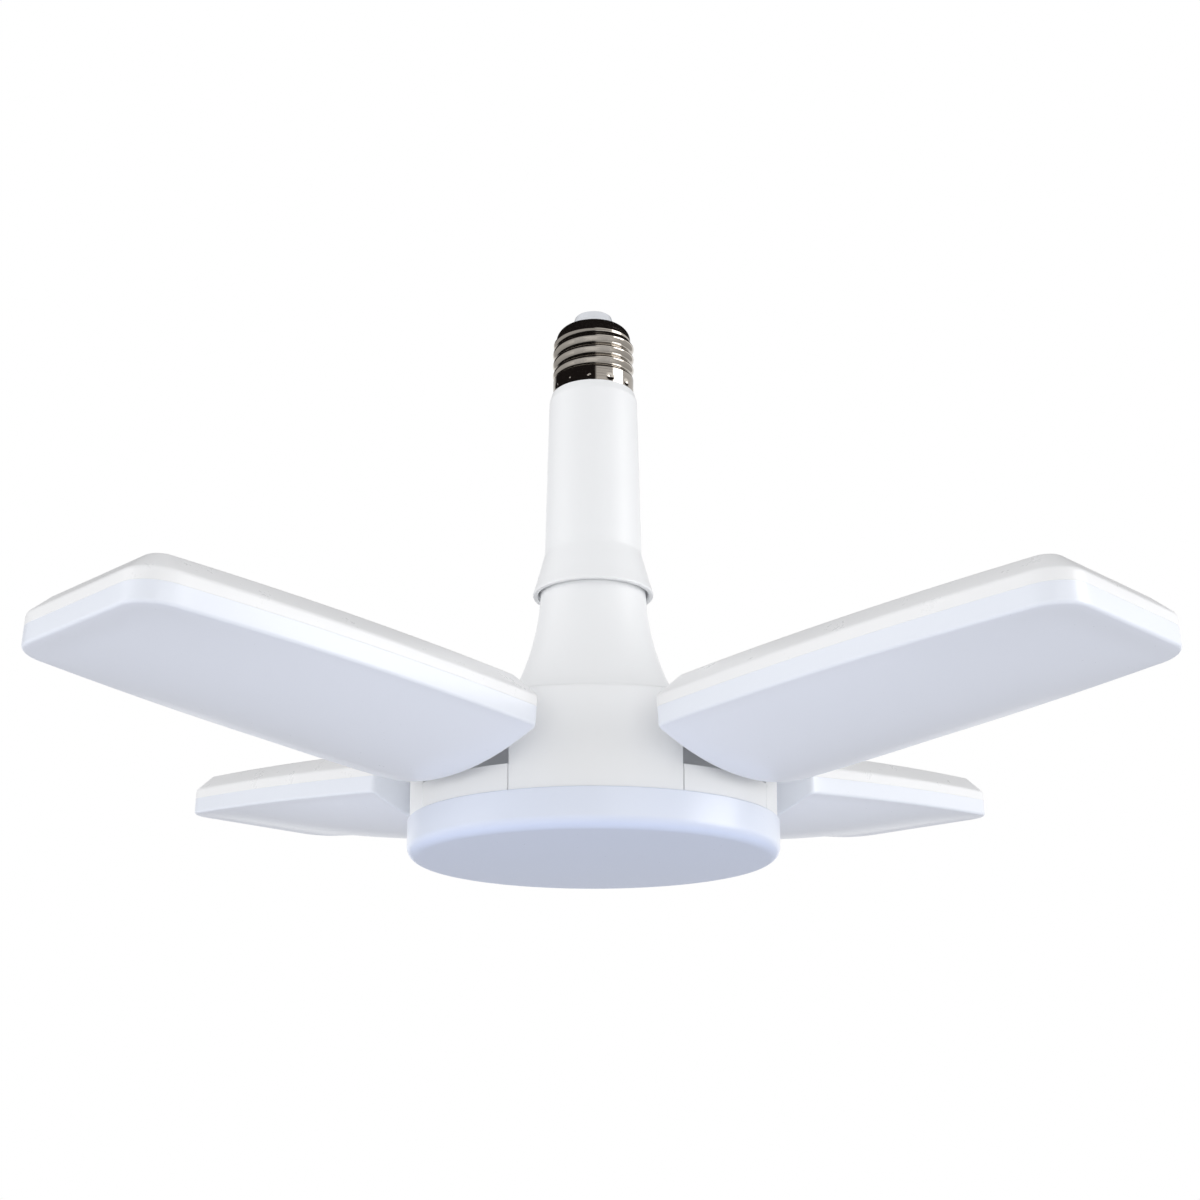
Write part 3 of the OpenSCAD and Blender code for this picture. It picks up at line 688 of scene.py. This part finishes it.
def shell_radius(angle, z):
    """Radius of the screw shell: rounded thread between shoulder and skirt, with dimples."""
    root = THREAD_D / 2 - THREAD_DEPTH
    skirt = (THREAD_D - SKIRT_STEP) / 2
    mid = (THREAD_D - THREAD_DEPTH) / 2
    throw = THREAD_DEPTH / 2
    turn = angle - 2 * math.pi * (z - THREAD_BOTTOM_Z) / THREAD_PITCH
    thread = throw * math.cos(turn) + math.sqrt(mid ** 2 - (throw * math.sin(turn)) ** 2)
    up = min(max((THREAD_TOP_Z - z) / THREAD_FADE, 0.0), 1.0)
    down = min(max((z - THREAD_BOTTOM_Z + THREAD_RUNOUT) / THREAD_FADE, 0.0), 1.0)
    up, down = (t * t * (3 - 2 * t) for t in (up, down))
    if z > THREAD_TOP_Z:
        return root
    r = root + (thread - root) * up
    r = skirt + (r - skirt) * down
    dent_z = NECK_TOP_Z + DIMPLE_RISE
    if abs(z - dent_z) < DIMPLE_REACH:
        for i in range(DIMPLES):
            place = math.radians(DIMPLE_TURN * i + DIMPLE_START)
            off = (angle - place + math.pi) % (2 * math.pi) - math.pi
            d2 = (off * skirt) ** 2 + (z - dent_z) ** 2
            r -= DIMPLE_DEPTH * math.exp(-d2 / DIMPLE_SPREAD)
    return r


def make_shell():
    """Screw shell: rounded shoulder, thread and dimpled skirt, open at the bottom."""
    root = THREAD_D / 2 - THREAD_DEPTH
    rim_r = root - SHOULDER_H
    seat_z = SHELL_TOP_Z - INSULATOR_SEAT
    levels = [(INSULATOR_D / 2, seat_z), (INSULATOR_D / 2, SHELL_TOP_Z)]
    for a in range(90, -1, -SHOULDER_STEP):
        levels.append((rim_r + SHOULDER_H * math.cos(math.radians(a)),
                       THREAD_TOP_Z + SHOULDER_H * math.sin(math.radians(a))))
    bottom = NECK_TOP_Z - SKIRT_SEAT
    steps = int((THREAD_TOP_Z - bottom) / SHELL_ROW_H)
    body = [THREAD_TOP_Z - (THREAD_TOP_Z - bottom) * i / steps for i in range(1, steps + 1)]
    inner_r = root - SHELL_WALL
    rings = [circle(r, z, SHELL_SEGMENTS) for r, z in levels]
    for z in body:
        ring = []
        for j in range(SHELL_SEGMENTS):
            a = 2 * math.pi * j / SHELL_SEGMENTS
            r = shell_radius(a, z)
            ring.append((r * math.cos(a), r * math.sin(a), z))
        rings.append(ring)
    for r, z in ((inner_r, bottom), (inner_r, THREAD_TOP_Z), (rim_r, seat_z)):
        rings.append(circle(r, z, SHELL_SEGMENTS))
    rings.append(rings[0])
    points, faces = loft(rings)
    piece("cap_shell", points, faces, "shell", "cap_and_neck", ["screw_shell"])


def make_insulator(shape):
    """Glass insulator: a straight cone whose rim stands round the contact."""
    foot_r = INSULATOR_D / 2 - INSULATOR_PLAY
    rim_z = -INSULATOR_RIM_DROP
    seat_z = SHELL_TOP_Z - INSULATOR_SEAT
    corners = [(INSULATOR_RIM_D / 2, -CONTACT_H, 0), (INSULATOR_RIM_D / 2, rim_z, 0.2),
               (INSULATOR_TOP_D / 2, rim_z, 0.35), (foot_r, SHELL_TOP_Z + 0.3, 0.2),
               (foot_r, seat_z, 0)]
    points, faces = turned([(0, -CONTACT_H)] + rounded(corners, ROUND_STEPS) + [(0, seat_z)],
                           shape.turns_detail, closed=False)
    piece("cap_insulator_rim", points, faces, "insulator", "cap_and_neck",
          ["cap_insulator"])


def make_neck(shape):
    """Neck: a tapered sleeve with a flared collar, and the web that it swivels on."""
    top_r = NECK_TOP_D / 2
    foot_r = NECK_FOOT_D / 2
    inner = THREAD_D / 2 - THREAD_DEPTH - SHELL_WALL - NECK_LIP
    seat_r = (THREAD_D - SKIRT_STEP) / 2 + NECK_SEAT_PLAY
    web_r = JOURNAL_D / 2 + JOURNAL_PLAY
    seat_z = NECK_TOP_Z - SKIRT_SEAT
    rim = COLLAR_RIM_D / 2
    corners = [
        (inner, seat_z, 0), (seat_r, seat_z, 0), (seat_r, NECK_TOP_Z, 0.15),
        (top_r - NECK_CHAMFER, NECK_TOP_Z, 0.5), (top_r, NECK_TOP_Z - NECK_CHAMFER_H, 1.5),
        (CREASE_D / 2, COLLAR_Z + CREASE_H, shape.neck_round / MM),
        (rim - COLLAR_BELLY_STEP, COLLAR_Z + COLLAR_BELLY_H, COLLAR_BELLY_R),
        (rim, COLLAR_Z + COLLAR_RIM_H, 0.5),
        (rim - 0.2, COLLAR_Z, 0.3), (rim - COLLAR_RIM_W, COLLAR_Z, 0.4),
        (SPIGOT_D / 2 - SPIGOT_TAPER + SPIGOT_COVER, WEB_Z, 0.3), (web_r, WEB_Z, 0),
        (web_r, WEB_Z + WEB_T, 0), (foot_r - NECK_WALL, WEB_Z + WEB_T, 0),
        (top_r - NECK_WALL, seat_z - 2 * NECK_WALL, 0), (inner, seat_z - NECK_WALL, 0)]
    points, faces = turned(rounded(corners, NECK_ROUND_STEPS), shape.turns_detail, closed=True)
    piece("neck_sleeve", points, faces, "housing", "cap_and_neck", ["neck_housing"])


def trumpet(depth):
    """Radius and height of the trumpet curve, from the foot up to the collar."""
    foot = LEG_Z - depth
    centre = SPIGOT_D / 2 + TRUMPET_R
    out = []
    for i in range(TRUMPET_STEPS + 1):
        z = foot + (TRUMPET_Z - foot) * i / TRUMPET_STEPS
        out.append((centre - math.sqrt((TRUMPET_R + depth) ** 2 - (TRUMPET_Z - z) ** 2), z))
    return out


def hub_outline(radius, back, half_w):
    """Plan of the housing: a circle with four square pockets."""
    corner = math.asin(half_w / radius)
    out = []
    for k in range(4):
        turn = math.radians(45 + 90 * k)
        for x, y in ((math.sqrt(radius ** 2 - half_w ** 2), -half_w), (back, -half_w),
                     (back, half_w), (math.sqrt(radius ** 2 - half_w ** 2), half_w)):
            out.append((x * math.cos(turn) - y * math.sin(turn),
                        x * math.sin(turn) + y * math.cos(turn)))
        for i in range(1, LEG_ARC_STEPS):
            a = turn + corner + (math.pi / 2 - 2 * corner) * i / LEG_ARC_STEPS
            out.append((radius * math.cos(a), radius * math.sin(a)))
    return out


def hub_shell(depth, ear):
    """Rings of the housing's wall up to the foot of the trumpet, drawn inside its outer face."""
    edge = max(LEG_EDGE_R - depth, MIN_EDGE_R)
    pocket_in = HINGE_R - POCKET_BACK
    rings = []

    def ring(inset, z):
        plan = hub_outline(HUB_D / 2 - depth - inset, pocket_in - ear - inset,
                           POCKET_HALF_W + ear + inset)
        rings.append([(x, y, z) for x, y in plan])

    ring(0, HUB_Z)
    ring(0, LEG_Z - depth - edge)
    for a in EDGE_TURNS:
        ring(edge * (1 - math.cos(math.radians(a))),
             LEG_Z - depth - edge + edge * math.sin(math.radians(a)))
    return rings


def make_housing(shape):
    """Trumpet housing: outer and inner skin of the legs' wall, joined to the turned trumpet."""
    work = bmesh.new()

    def add_rings(rings):
        loops = [[work.verts.new(tuple(c * MM for c in p)) for p in ring] for ring in rings]
        for a, b in zip(loops, loops[1:]):
            for j in range(len(a)):
                m = (j + 1) % len(a)
                work.faces.new((a[j], a[m], b[m], b[j]))
        return loops

    def turn_rings(profile):
        return add_rings([circle(r, z, shape.turns_detail) for r, z in profile])

    def fill(loop_a, loop_b):
        edges = []
        for loop in (loop_a, loop_b):
            for j in range(len(loop)):
                pair = (loop[j], loop[(j + 1) % len(loop)])
                edges.append(work.edges.get(pair) or work.edges.new(pair))
        bmesh.ops.triangle_fill(work, edges=edges, use_beauty=True)

    out_loops = add_rings(hub_shell(0, 0))
    in_loops = add_rings(hub_shell(HUB_WALL, EAR_T))
    tip_r = SPIGOT_D / 2 - SPIGOT_TAPER
    outside = trumpet(0) + [(tip_r, SPIGOT_Z - SPIGOT_CHAMFER),
                            (tip_r - SPIGOT_CHAMFER, SPIGOT_Z),
                            (JOURNAL_D / 2, SPIGOT_Z), (JOURNAL_D / 2, RING_Z),
                            (JOURNAL_BORE_D / 2, RING_Z),
                            (JOURNAL_BORE_D / 2, SPIGOT_Z - HUB_WALL)]
    inside = [(r, z) for r, z in reversed(trumpet(HUB_WALL))
              if z < SPIGOT_Z - HUB_WALL - TRUMPET_ROOM]
    skin = turn_rings(outside + inside)
    fill(out_loops[-1], skin[0])
    fill(in_loops[-1], skin[-1])
    fill(out_loops[0], in_loops[0])
    bmesh.ops.recalc_face_normals(work, faces=work.faces)
    bends = [e for e in work.edges if len(e.link_faces) == 2
             and abs(e.verts[0].co.z - e.verts[1].co.z) > POCKET_EDGE_H * MM
             and e.calc_face_angle(0) > math.radians(POCKET_EDGE_TURN)
             and e.verts[0].co.xy.length > POCKET_EDGE_OUT * MM]
    bmesh.ops.bevel(work, geom=bends, offset=POCKET_EDGE_R * MM, segments=3, profile=0.5,
                    affect="EDGES", clamp_overlap=True)
    mesh = bpy.data.meshes.new("trumpet_housing")
    work.to_mesh(mesh)
    work.free()
    mesh.polygons.foreach_set("use_smooth", [True] * len(mesh.polygons))
    mesh.set_sharp_from_angle(angle=math.radians(SHARP_ANGLE))
    made = bpy.data.objects.new("trumpet_housing", mesh)
    bpy.context.scene.collection.objects.link(made)
    mesh.materials.append(finish_of("housing"))
    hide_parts("lower_housing")
    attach(made, "lamp_body")


def make_disc(shape):
    """Round diffuser: upright wall, rounded edge and slightly crowned face."""
    r = DISC_D / 2
    low = HUB_Z - DISC_WALL_H
    flat_r = r - DISC_EDGE_R

    def face(inset):
        edge = DISC_EDGE_R - inset
        base = low - edge
        out = arc(flat_r, low, edge, 0, -90, DISC_EDGE_STEPS)
        for i in range(1, DISC_STEPS + 1):
            x = flat_r * (1 - i / DISC_STEPS)
            out.append((x, base - DISC_CROWN * (1 - (x / flat_r) ** 2)))
        return out

    outer = [(r - DISC_SEAT_CHAMFER, HUB_Z), (r, HUB_Z - DISC_SEAT_CHAMFER)] + face(0)
    inner = [(r - LENS_WALL, HUB_Z)] + face(LENS_WALL)
    profile = list(reversed(inner)) + outer
    points, faces = turned(profile, shape.turns_detail, closed=False)
    # Painted light: the upright wall and the rounded edge are marked with side shares, so the opal
    # finish paints them paler
    fade = DISC_EDGE_R * 0.7
    side = []
    for _, z in profile:
        share = min(max((z - (low - fade)) / fade, 0.0), 1.0)
        side += [share] * shape.turns_detail
    piece("round_diffuser", points, faces, "round_lens_shaded", "lamp_body",
          ["centre_diffuser"], side)


def side_at(s):
    """Half the panel's width at a distance from its inner end."""
    return (PANEL_IN_W + (PANEL_OUT_W - PANEL_IN_W) * s / PANEL_L
            + PANEL_BOW * (1 - (2 * s / PANEL_L - 1) ** 2))


def panel_outline(inset):
    """Plan of a panel at a distance inside its edge, with points across both ends."""
    ri = max(PANEL_IN_R - inset, MIN_IN_R)
    ro = max(PANEL_OUT_R - inset, MIN_OUT_R)
    s_in = inset + ri
    s_out = PANEL_L - inset - ro
    w_in = side_at(s_in) - inset - ri
    w_out = side_at(s_out) - inset - ro
    half = [(inset, w_in * i / PANEL_IN_STEPS) for i in range(PANEL_IN_STEPS)]
    half += [(s_in - ri * math.cos(math.radians(a)), w_in + ri * math.sin(math.radians(a)))
             for a in range(0, 91, PANEL_IN_TURN)]
    along = [s_in + (s_out - s_in) * n / PANEL_SIDE_STEPS for n in range(1, PANEL_SIDE_STEPS)]
    half += [(s, side_at(s) - inset) for s in along]
    half += [(s_out + ro * math.sin(math.radians(a)), w_out + ro * math.cos(math.radians(a)))
             for a in range(0, 91, PANEL_OUT_TURN)]
    half += [(PANEL_L - inset, w_out * (1 - i / PANEL_OUT_STEPS))
             for i in range(1, PANEL_OUT_STEPS + 1)]
    other = [(s, -y) for s, y in reversed(half[1:-1])]
    return half + other


def at_panel(k, ring):
    """Places points (along, across, height) of a panel at hinge k."""
    tilt = math.radians(PANEL_TILT)
    turn = math.radians(PANEL_ANGLES[k - 1])
    out = []
    for s, y, h in ring:
        x = PANEL_SETBACK + s
        far = HINGE_R + x * math.cos(tilt) - h * math.sin(tilt)
        up = HINGE_Z + x * math.sin(tilt) + h * math.cos(tilt)
        out.append((far * math.cos(turn) - y * math.sin(turn),
                    far * math.sin(turn) + y * math.cos(turn), up))
    return out


def make_case(k, shape):
    """White back of a panel: upright wall, bevel and flat top, with rounded edges."""
    r = shape.edge_round / MM
    bevel_z = CASE_TOP - CASE_BEVEL
    mitre = CASE_WALL / 3
    path = rounded([(JOINT_CHAMFER, JOINT_Z, 0), (0, JOINT_Z + JOINT_CHAMFER, 0),
                    (0, bevel_z, r), (CASE_BEVEL, CASE_TOP, r),
                    (CASE_BEVEL + CASE_FLAT, CASE_TOP, 0)], ROUND_STEPS)
    inside = [(CASE_WALL + CASE_BEVEL + CASE_INNER_FLAT, CASE_TOP - CASE_WALL),
              (CASE_WALL + CASE_BEVEL - mitre, CASE_TOP - CASE_WALL),
              (CASE_WALL, bevel_z - mitre), (CASE_WALL, JOINT_Z)]
    rings, inner = ([[(s, y, z) for s, y in panel_outline(inset)] for inset, z in walls]
                    for walls in (path, inside))
    n = len(rings[0])
    points, faces = loft(rings)
    more, inner_faces = loft(inner)
    base = len(points)
    faces += [[base + i for i in f] for f in inner_faces]
    points += more
    faces.append([(len(rings) - 1) * n + j for j in range(n)])
    faces.append([base + j for j in range(n)])
    last = base + (len(inner) - 1) * n
    faces += [[j, (j + 1) % n, last + (j + 1) % n, last + j] for j in range(n)]
    piece(f"panel_back_{k}", at_panel(k, points), faces, "case", f"panel_{k}",
          [f"panel_case_{k}"])


def crown(s, y, inset):
    """How far the diffuser bulges down at a place."""
    share = min(max(s / (PANEL_L * CROWN_REACH), 0.0), 1.0)
    depth = CROWN * math.cos(math.pi / 2 * share)
    return depth * max(0.0, 1 - (y / max(side_at(s) - inset, 1.0)) ** 2)


def lens_surface(inset):
    """Rings of the diffuser's outer or inner face, from the joint down to its middle."""
    depth = LENS_SIDE_H + LENS_EDGE_R - inset
    r = LENS_EDGE_R
    # The side shares mark the diffuser's wall, fading round its edge to the face, so the opal
    # finish paints the wall paler as painted light
    rings, side = [], []

    def ring(more, drop, follow, share):
        rings.append([(s, y, JOINT_Z - drop - follow * crown(s, y, inset + more))
                      for s, y in panel_outline(inset + more)])
        side.append(share)

    ring(0.0 if inset else JOINT_CHAMFER, 0.0, 0, 1.0)
    if not inset:
        ring(0, JOINT_CHAMFER, 0, 1.0)
    ring(0, depth - r, 1, 1.0)
    for a in range(LENS_EDGE_TURN, 91, LENS_EDGE_TURN):
        ring(r * (1 - math.cos(math.radians(a))), depth - r + r * math.sin(math.radians(a)), 1,
             1.0 - a / 90)
    start = panel_outline(inset + r)
    spine_in, spine_out = LENS_SPINE_SETBACK, PANEL_L - LENS_SPINE_SETBACK
    for i in range(1, LENS_STEPS + 1):
        f = i / LENS_STEPS
        flat = []
        for s, y in start:
            spine = min(max(s, spine_in), spine_out)
            along = s + (spine - s) * f
            across = y * (1 - f)
            flat.append((along, across, JOINT_Z - depth - crown(along, across, inset + r)))
        rings.append(flat)
        side.append(0.0)
    return rings, side


def make_lens(k):
    """Opal diffuser of a panel, deep at the hinge end and nearly flat at the outer end."""
    outer, side_a = lens_surface(0)
    inner, side_b = lens_surface(LENS_WALL)
    n = len(outer[0])
    points, faces = loft(outer)
    more, inner_faces = loft(inner)
    base = len(points)
    faces += [[base + i for i in f] for f in inner_faces]
    points += more
    faces += [[j, (j + 1) % n, base + (j + 1) % n, base + j] for j in range(n)]
    # Side shares for every point, by which the wall is painted paler as painted light
    side = [share for share in side_a + side_b for _ in range(n)]
    piece(f"panel_lens_{k}", at_panel(k, points), faces, "lens", f"panel_{k}",
          [f"panel_diffuser_{k}"], side)


# ---- The studio ----

def look_at(made, place, target):
    """Puts an object at a place, with its -Z axis to the target."""
    made.location = place
    aim = Vector(target) - Vector(place)
    made.rotation_mode = "QUATERNION"
    made.rotation_quaternion = aim.to_track_quat("-Z", "Y")


def soft_lamp(name, place, size, power, mirrored):
    """Area lamp aimed at the light. Metal and gloss mirror it only where mirrored is set."""
    data = bpy.data.lights.new(name, "AREA")
    data.shape = "RECTANGLE"
    data.size, data.size_y = size
    data.energy = power
    lamp = bpy.data.objects.new(name, data)
    lamp.visible_glossy = mirrored
    bpy.context.scene.collection.objects.link(lamp)
    look_at(lamp, place, LAMP_AIM)


def make_camera():
    """The camera that was fitted to the photograph's outlines."""
    data = bpy.data.cameras.new("photo_camera")
    data.sensor_width = SENSOR
    data.lens = SENSOR * FOCAL_PIXELS / PHOTO_SIDE
    data.shift_x = (PHOTO_SIDE / 2 - CENTRE_X) / PHOTO_SIDE
    data.shift_y = (CENTRE_Y - PHOTO_SIDE / 2) / PHOTO_SIDE
    data.clip_start, data.clip_end = CLIP_NEAR, CLIP_FAR
    camera = bpy.data.objects.new("photo_camera", data)
    bpy.context.scene.collection.objects.link(camera)
    turn = (Matrix.Rotation(CAMERA_HEADING, 4, "Z")
            @ Matrix.Rotation(math.pi / 2 + CAMERA_PITCH, 4, "X")
            @ Matrix.Rotation(CAMERA_ROLL, 4, "Z"))
    place = Vector([c * MM for c in CAMERA_PLACE])
    camera.matrix_world = Matrix.Translation(place) @ turn
    bpy.context.scene.camera = camera


def make_floor(drop):
    """Pale floor far below. The camera sees it nearly white, and it keeps the shadow."""
    f = Finish("pale_floor")
    seen = f.node("ShaderNodeLightPath", out="Is Camera Ray")
    mottle = f.noise(FLOOR_MOTTLE, 2.0)
    base = f.blend(mottle, (0.80, 0.80, 0.80), (0.83, 0.83, 0.83))
    matt = f.node("ShaderNodeBsdfDiffuse", None, {"Color": base})
    glow = f.node("ShaderNodeEmission", None, {"Color": (1, 1, 1), "Strength": 1.0})
    f.node_out(f.node("ShaderNodeMixShader", None, {0: seen * FLOOR_WHITENING, 1: matt, 2: glow}))
    mesh = bpy.data.meshes.new("floor")
    z = CAD_BOX[0].z - drop
    corners = [(x * FLOOR_HALF, y * FLOOR_HALF, z) for x, y in ((-1, -1), (1, -1), (1, 1), (-1, 1))]
    mesh.from_pydata(corners, [], [(0, 1, 2, 3)])
    floor = bpy.data.objects.new("floor", mesh)
    bpy.context.scene.collection.objects.link(floor)
    mesh.materials.append(f.material)


def make_sky(strength):
    """White all round. Reflections see a dark room to the left and overhead."""
    f = Finish("studio", world=True)
    bpy.context.scene.world = f.material
    camera, glossy, through = (
        f.node("ShaderNodeLightPath", out=name)
        for name in ("Is Camera Ray", "Is Glossy Ray", "Is Transmission Ray"))
    apart = f.node("ShaderNodeSeparateXYZ", None,
                   {0: f.node("ShaderNodeTexCoord", out="Generated")})
    x, y, z = (Wire(f, apart.socket.node.outputs[i]) for i in range(3))

    def ramp(value, start, stop):
        return f.node("ShaderNodeMapRange", {"clamp": True, "interpolation_type": "SMOOTHSTEP"},
                      {"Value": value, "From Min": start, "From Max": stop})

    left = ramp(z, *ROOM_BELOW) * ramp(x, *ROOM_RIGHT) * ramp(y, *ROOM_BACK)
    room = f.node("ShaderNodeMath", {"operation": "MAXIMUM"},
                  {0: left, 1: ramp(z, *ROOM_OVERHEAD)})
    seen = f.blend(room * glossy, (1.0, 1.0, 1.0), ROOM_COLOUR)
    plain = f.node("ShaderNodeBackground", None, {"Color": (1, 1, 1), "Strength": strength})
    white = f.node("ShaderNodeBackground", None, {"Color": seen, "Strength": 1.0})
    either = f.node("ShaderNodeMath", {"operation": "MAXIMUM"}, {0: camera, 1: glossy})
    direct = f.node("ShaderNodeMath", {"operation": "MAXIMUM"}, {0: either, 1: through})
    f.node_out(f.node("ShaderNodeMixShader", None, {0: direct, 1: plain, 2: white}))


# ---- Operators ----

class LIGHT_OT_stage(bpy.types.Operator):
    """Sets up the camera, the pale floor, the white surroundings and the lamps"""
    bl_idname = "light.stage"
    bl_label = "Studio"

    def execute(self, context):
        studio = context.scene.light_studio
        context.scene.view_settings.view_transform = "Standard"
        make_camera()
        make_floor(studio.floor_drop)
        make_sky(studio.sky)
        for name, x, mirrored in (("lamp_left", -SIDE_LAMP_OUT, False),
                                  ("lamp_right", SIDE_LAMP_OUT, True)):
            soft_lamp(name, (x, SIDE_LAMP_Y, SIDE_LAMP_Z), SIDE_LAMP_SIZE, studio.side_power,
                      mirrored)
        soft_lamp("lamp_front", FRONT_LAMP_PLACE, FRONT_LAMP_SIZE, studio.front_power,
                  mirrored=False)
        return {"FINISHED"}


class LIGHT_OT_cap(bpy.types.Operator):
    """Makes the threaded shell and finishes the contact and the insulator"""
    bl_idname = "light.cap"
    bl_label = "Screw cap"

    def execute(self, context):
        make_shell()
        make_insulator(context.scene.light_shape)
        paint_nodes("contact", "centre_contact")
        return {"FINISHED"}


class LIGHT_OT_neck(bpy.types.Operator):
    """Makes the neck sleeve and finishes the swivel inside it"""
    bl_idname = "light.neck"
    bl_label = "Neck and swivel"

    def execute(self, context):
        make_neck(context.scene.light_shape)
        paint_nodes("arm", "swivel_ring")
        paint_nodes("steel", "ring_screws")
        paint_nodes("lead", "supply_leads")
        return {"FINISHED"}


class LIGHT_OT_housing(bpy.types.Operator):
    """Makes the trumpet-shaped housing and finishes the pan"""
    bl_idname = "light.housing"
    bl_label = "Housing and pan"

    def execute(self, context):
        make_housing(context.scene.light_shape)
        paint_nodes("housing", "light_pan")
        paint_nodes("steel", "housing_screws")
        return {"FINISHED"}


class LIGHT_OT_driver(bpy.types.Operator):
    """Finishes the driver board and its parts"""
    bl_idname = "light.driver"
    bl_label = "Driver"

    def execute(self, context):
        paint_nodes("driver", "driver_board")
        paint_nodes("capacitor", "driver_capacitors")
        paint_nodes("transformer", "driver_transformer")
        paint_nodes("terminal", "driver_terminal")
        paint_nodes("red_lead", "board_leads")
        return {"FINISHED"}


class LIGHT_OT_round_light(bpy.types.Operator):
    """Makes the round diffuser and finishes the board above it"""
    bl_idname = "light.round_light"
    bl_label = "Round light"

    def execute(self, context):
        make_disc(context.scene.light_shape)
        paint_nodes("board", "centre_board")
        paint_nodes("chips", "centre_chips")
        return {"FINISHED"}


class LIGHT_OT_panels(bpy.types.Operator):
    """Makes the backs and diffusers of the four panels, and finishes their insides"""
    bl_idname = "light.panels"
    bl_label = "Panels"

    def execute(self, context):
        for k in range(1, 5):
            make_case(k, context.scene.light_shape)
            make_lens(k)
            paint_nodes("board", f"panel_board_{k}")
            paint_nodes("chips", f"panel_chips_{k}")
            paint_nodes("steel", f"panel_screws_{k}")
        return {"FINISHED"}


class LIGHT_OT_hinges(bpy.types.Operator):
    """Finishes the hinge pins, washers and arms"""
    bl_idname = "light.hinges"
    bl_label = "Hinges"

    def execute(self, context):
        for k in range(1, 5):
            paint_nodes("steel", f"hinge_pin_{k}", f"hinge_washers_{k}")
            paint_nodes("arm", f"hinge_arm_{k}")
        return {"FINISHED"}


STEPS = (LIGHT_OT_stage, LIGHT_OT_cap, LIGHT_OT_neck, LIGHT_OT_housing, LIGHT_OT_driver,
         LIGHT_OT_round_light, LIGHT_OT_panels, LIGHT_OT_hinges)


class LIGHT_PT_sidebar(bpy.types.Panel):
    """Lists the steps and the settings of the light"""
    bl_idname = "LIGHT_PT_sidebar"
    bl_label = "Folding Panel Light"
    bl_space_type = "VIEW_3D"
    bl_region_type = "UI"
    bl_category = "Light"

    def draw(self, context):
        layout = self.layout
        for group in (context.scene.light_shape, context.scene.light_finish,
                      context.scene.light_studio):
            box = layout.box()
            for name in group.__annotations__:
                box.prop(group, name)
        for step in STEPS:
            layout.operator(step.bl_idname)


CLASSES = (LightShape, LightFinish, LightStudio) + STEPS + (LIGHT_PT_sidebar,)


def register():
    for cls in CLASSES:
        bpy.utils.register_class(cls)
    bpy.types.Scene.light_shape = PointerProperty(type=LightShape)
    bpy.types.Scene.light_finish = PointerProperty(type=LightFinish)
    bpy.types.Scene.light_studio = PointerProperty(type=LightStudio)


def unregister():
    del bpy.types.Scene.light_studio
    del bpy.types.Scene.light_finish
    del bpy.types.Scene.light_shape
    for cls in reversed(CLASSES):
        bpy.utils.unregister_class(cls)


def main():
    register()
    for step in STEPS:
        group, name = step.bl_idname.split(".")
        getattr(getattr(bpy.ops, group), name)()


if __name__ == "__main__":
    main()
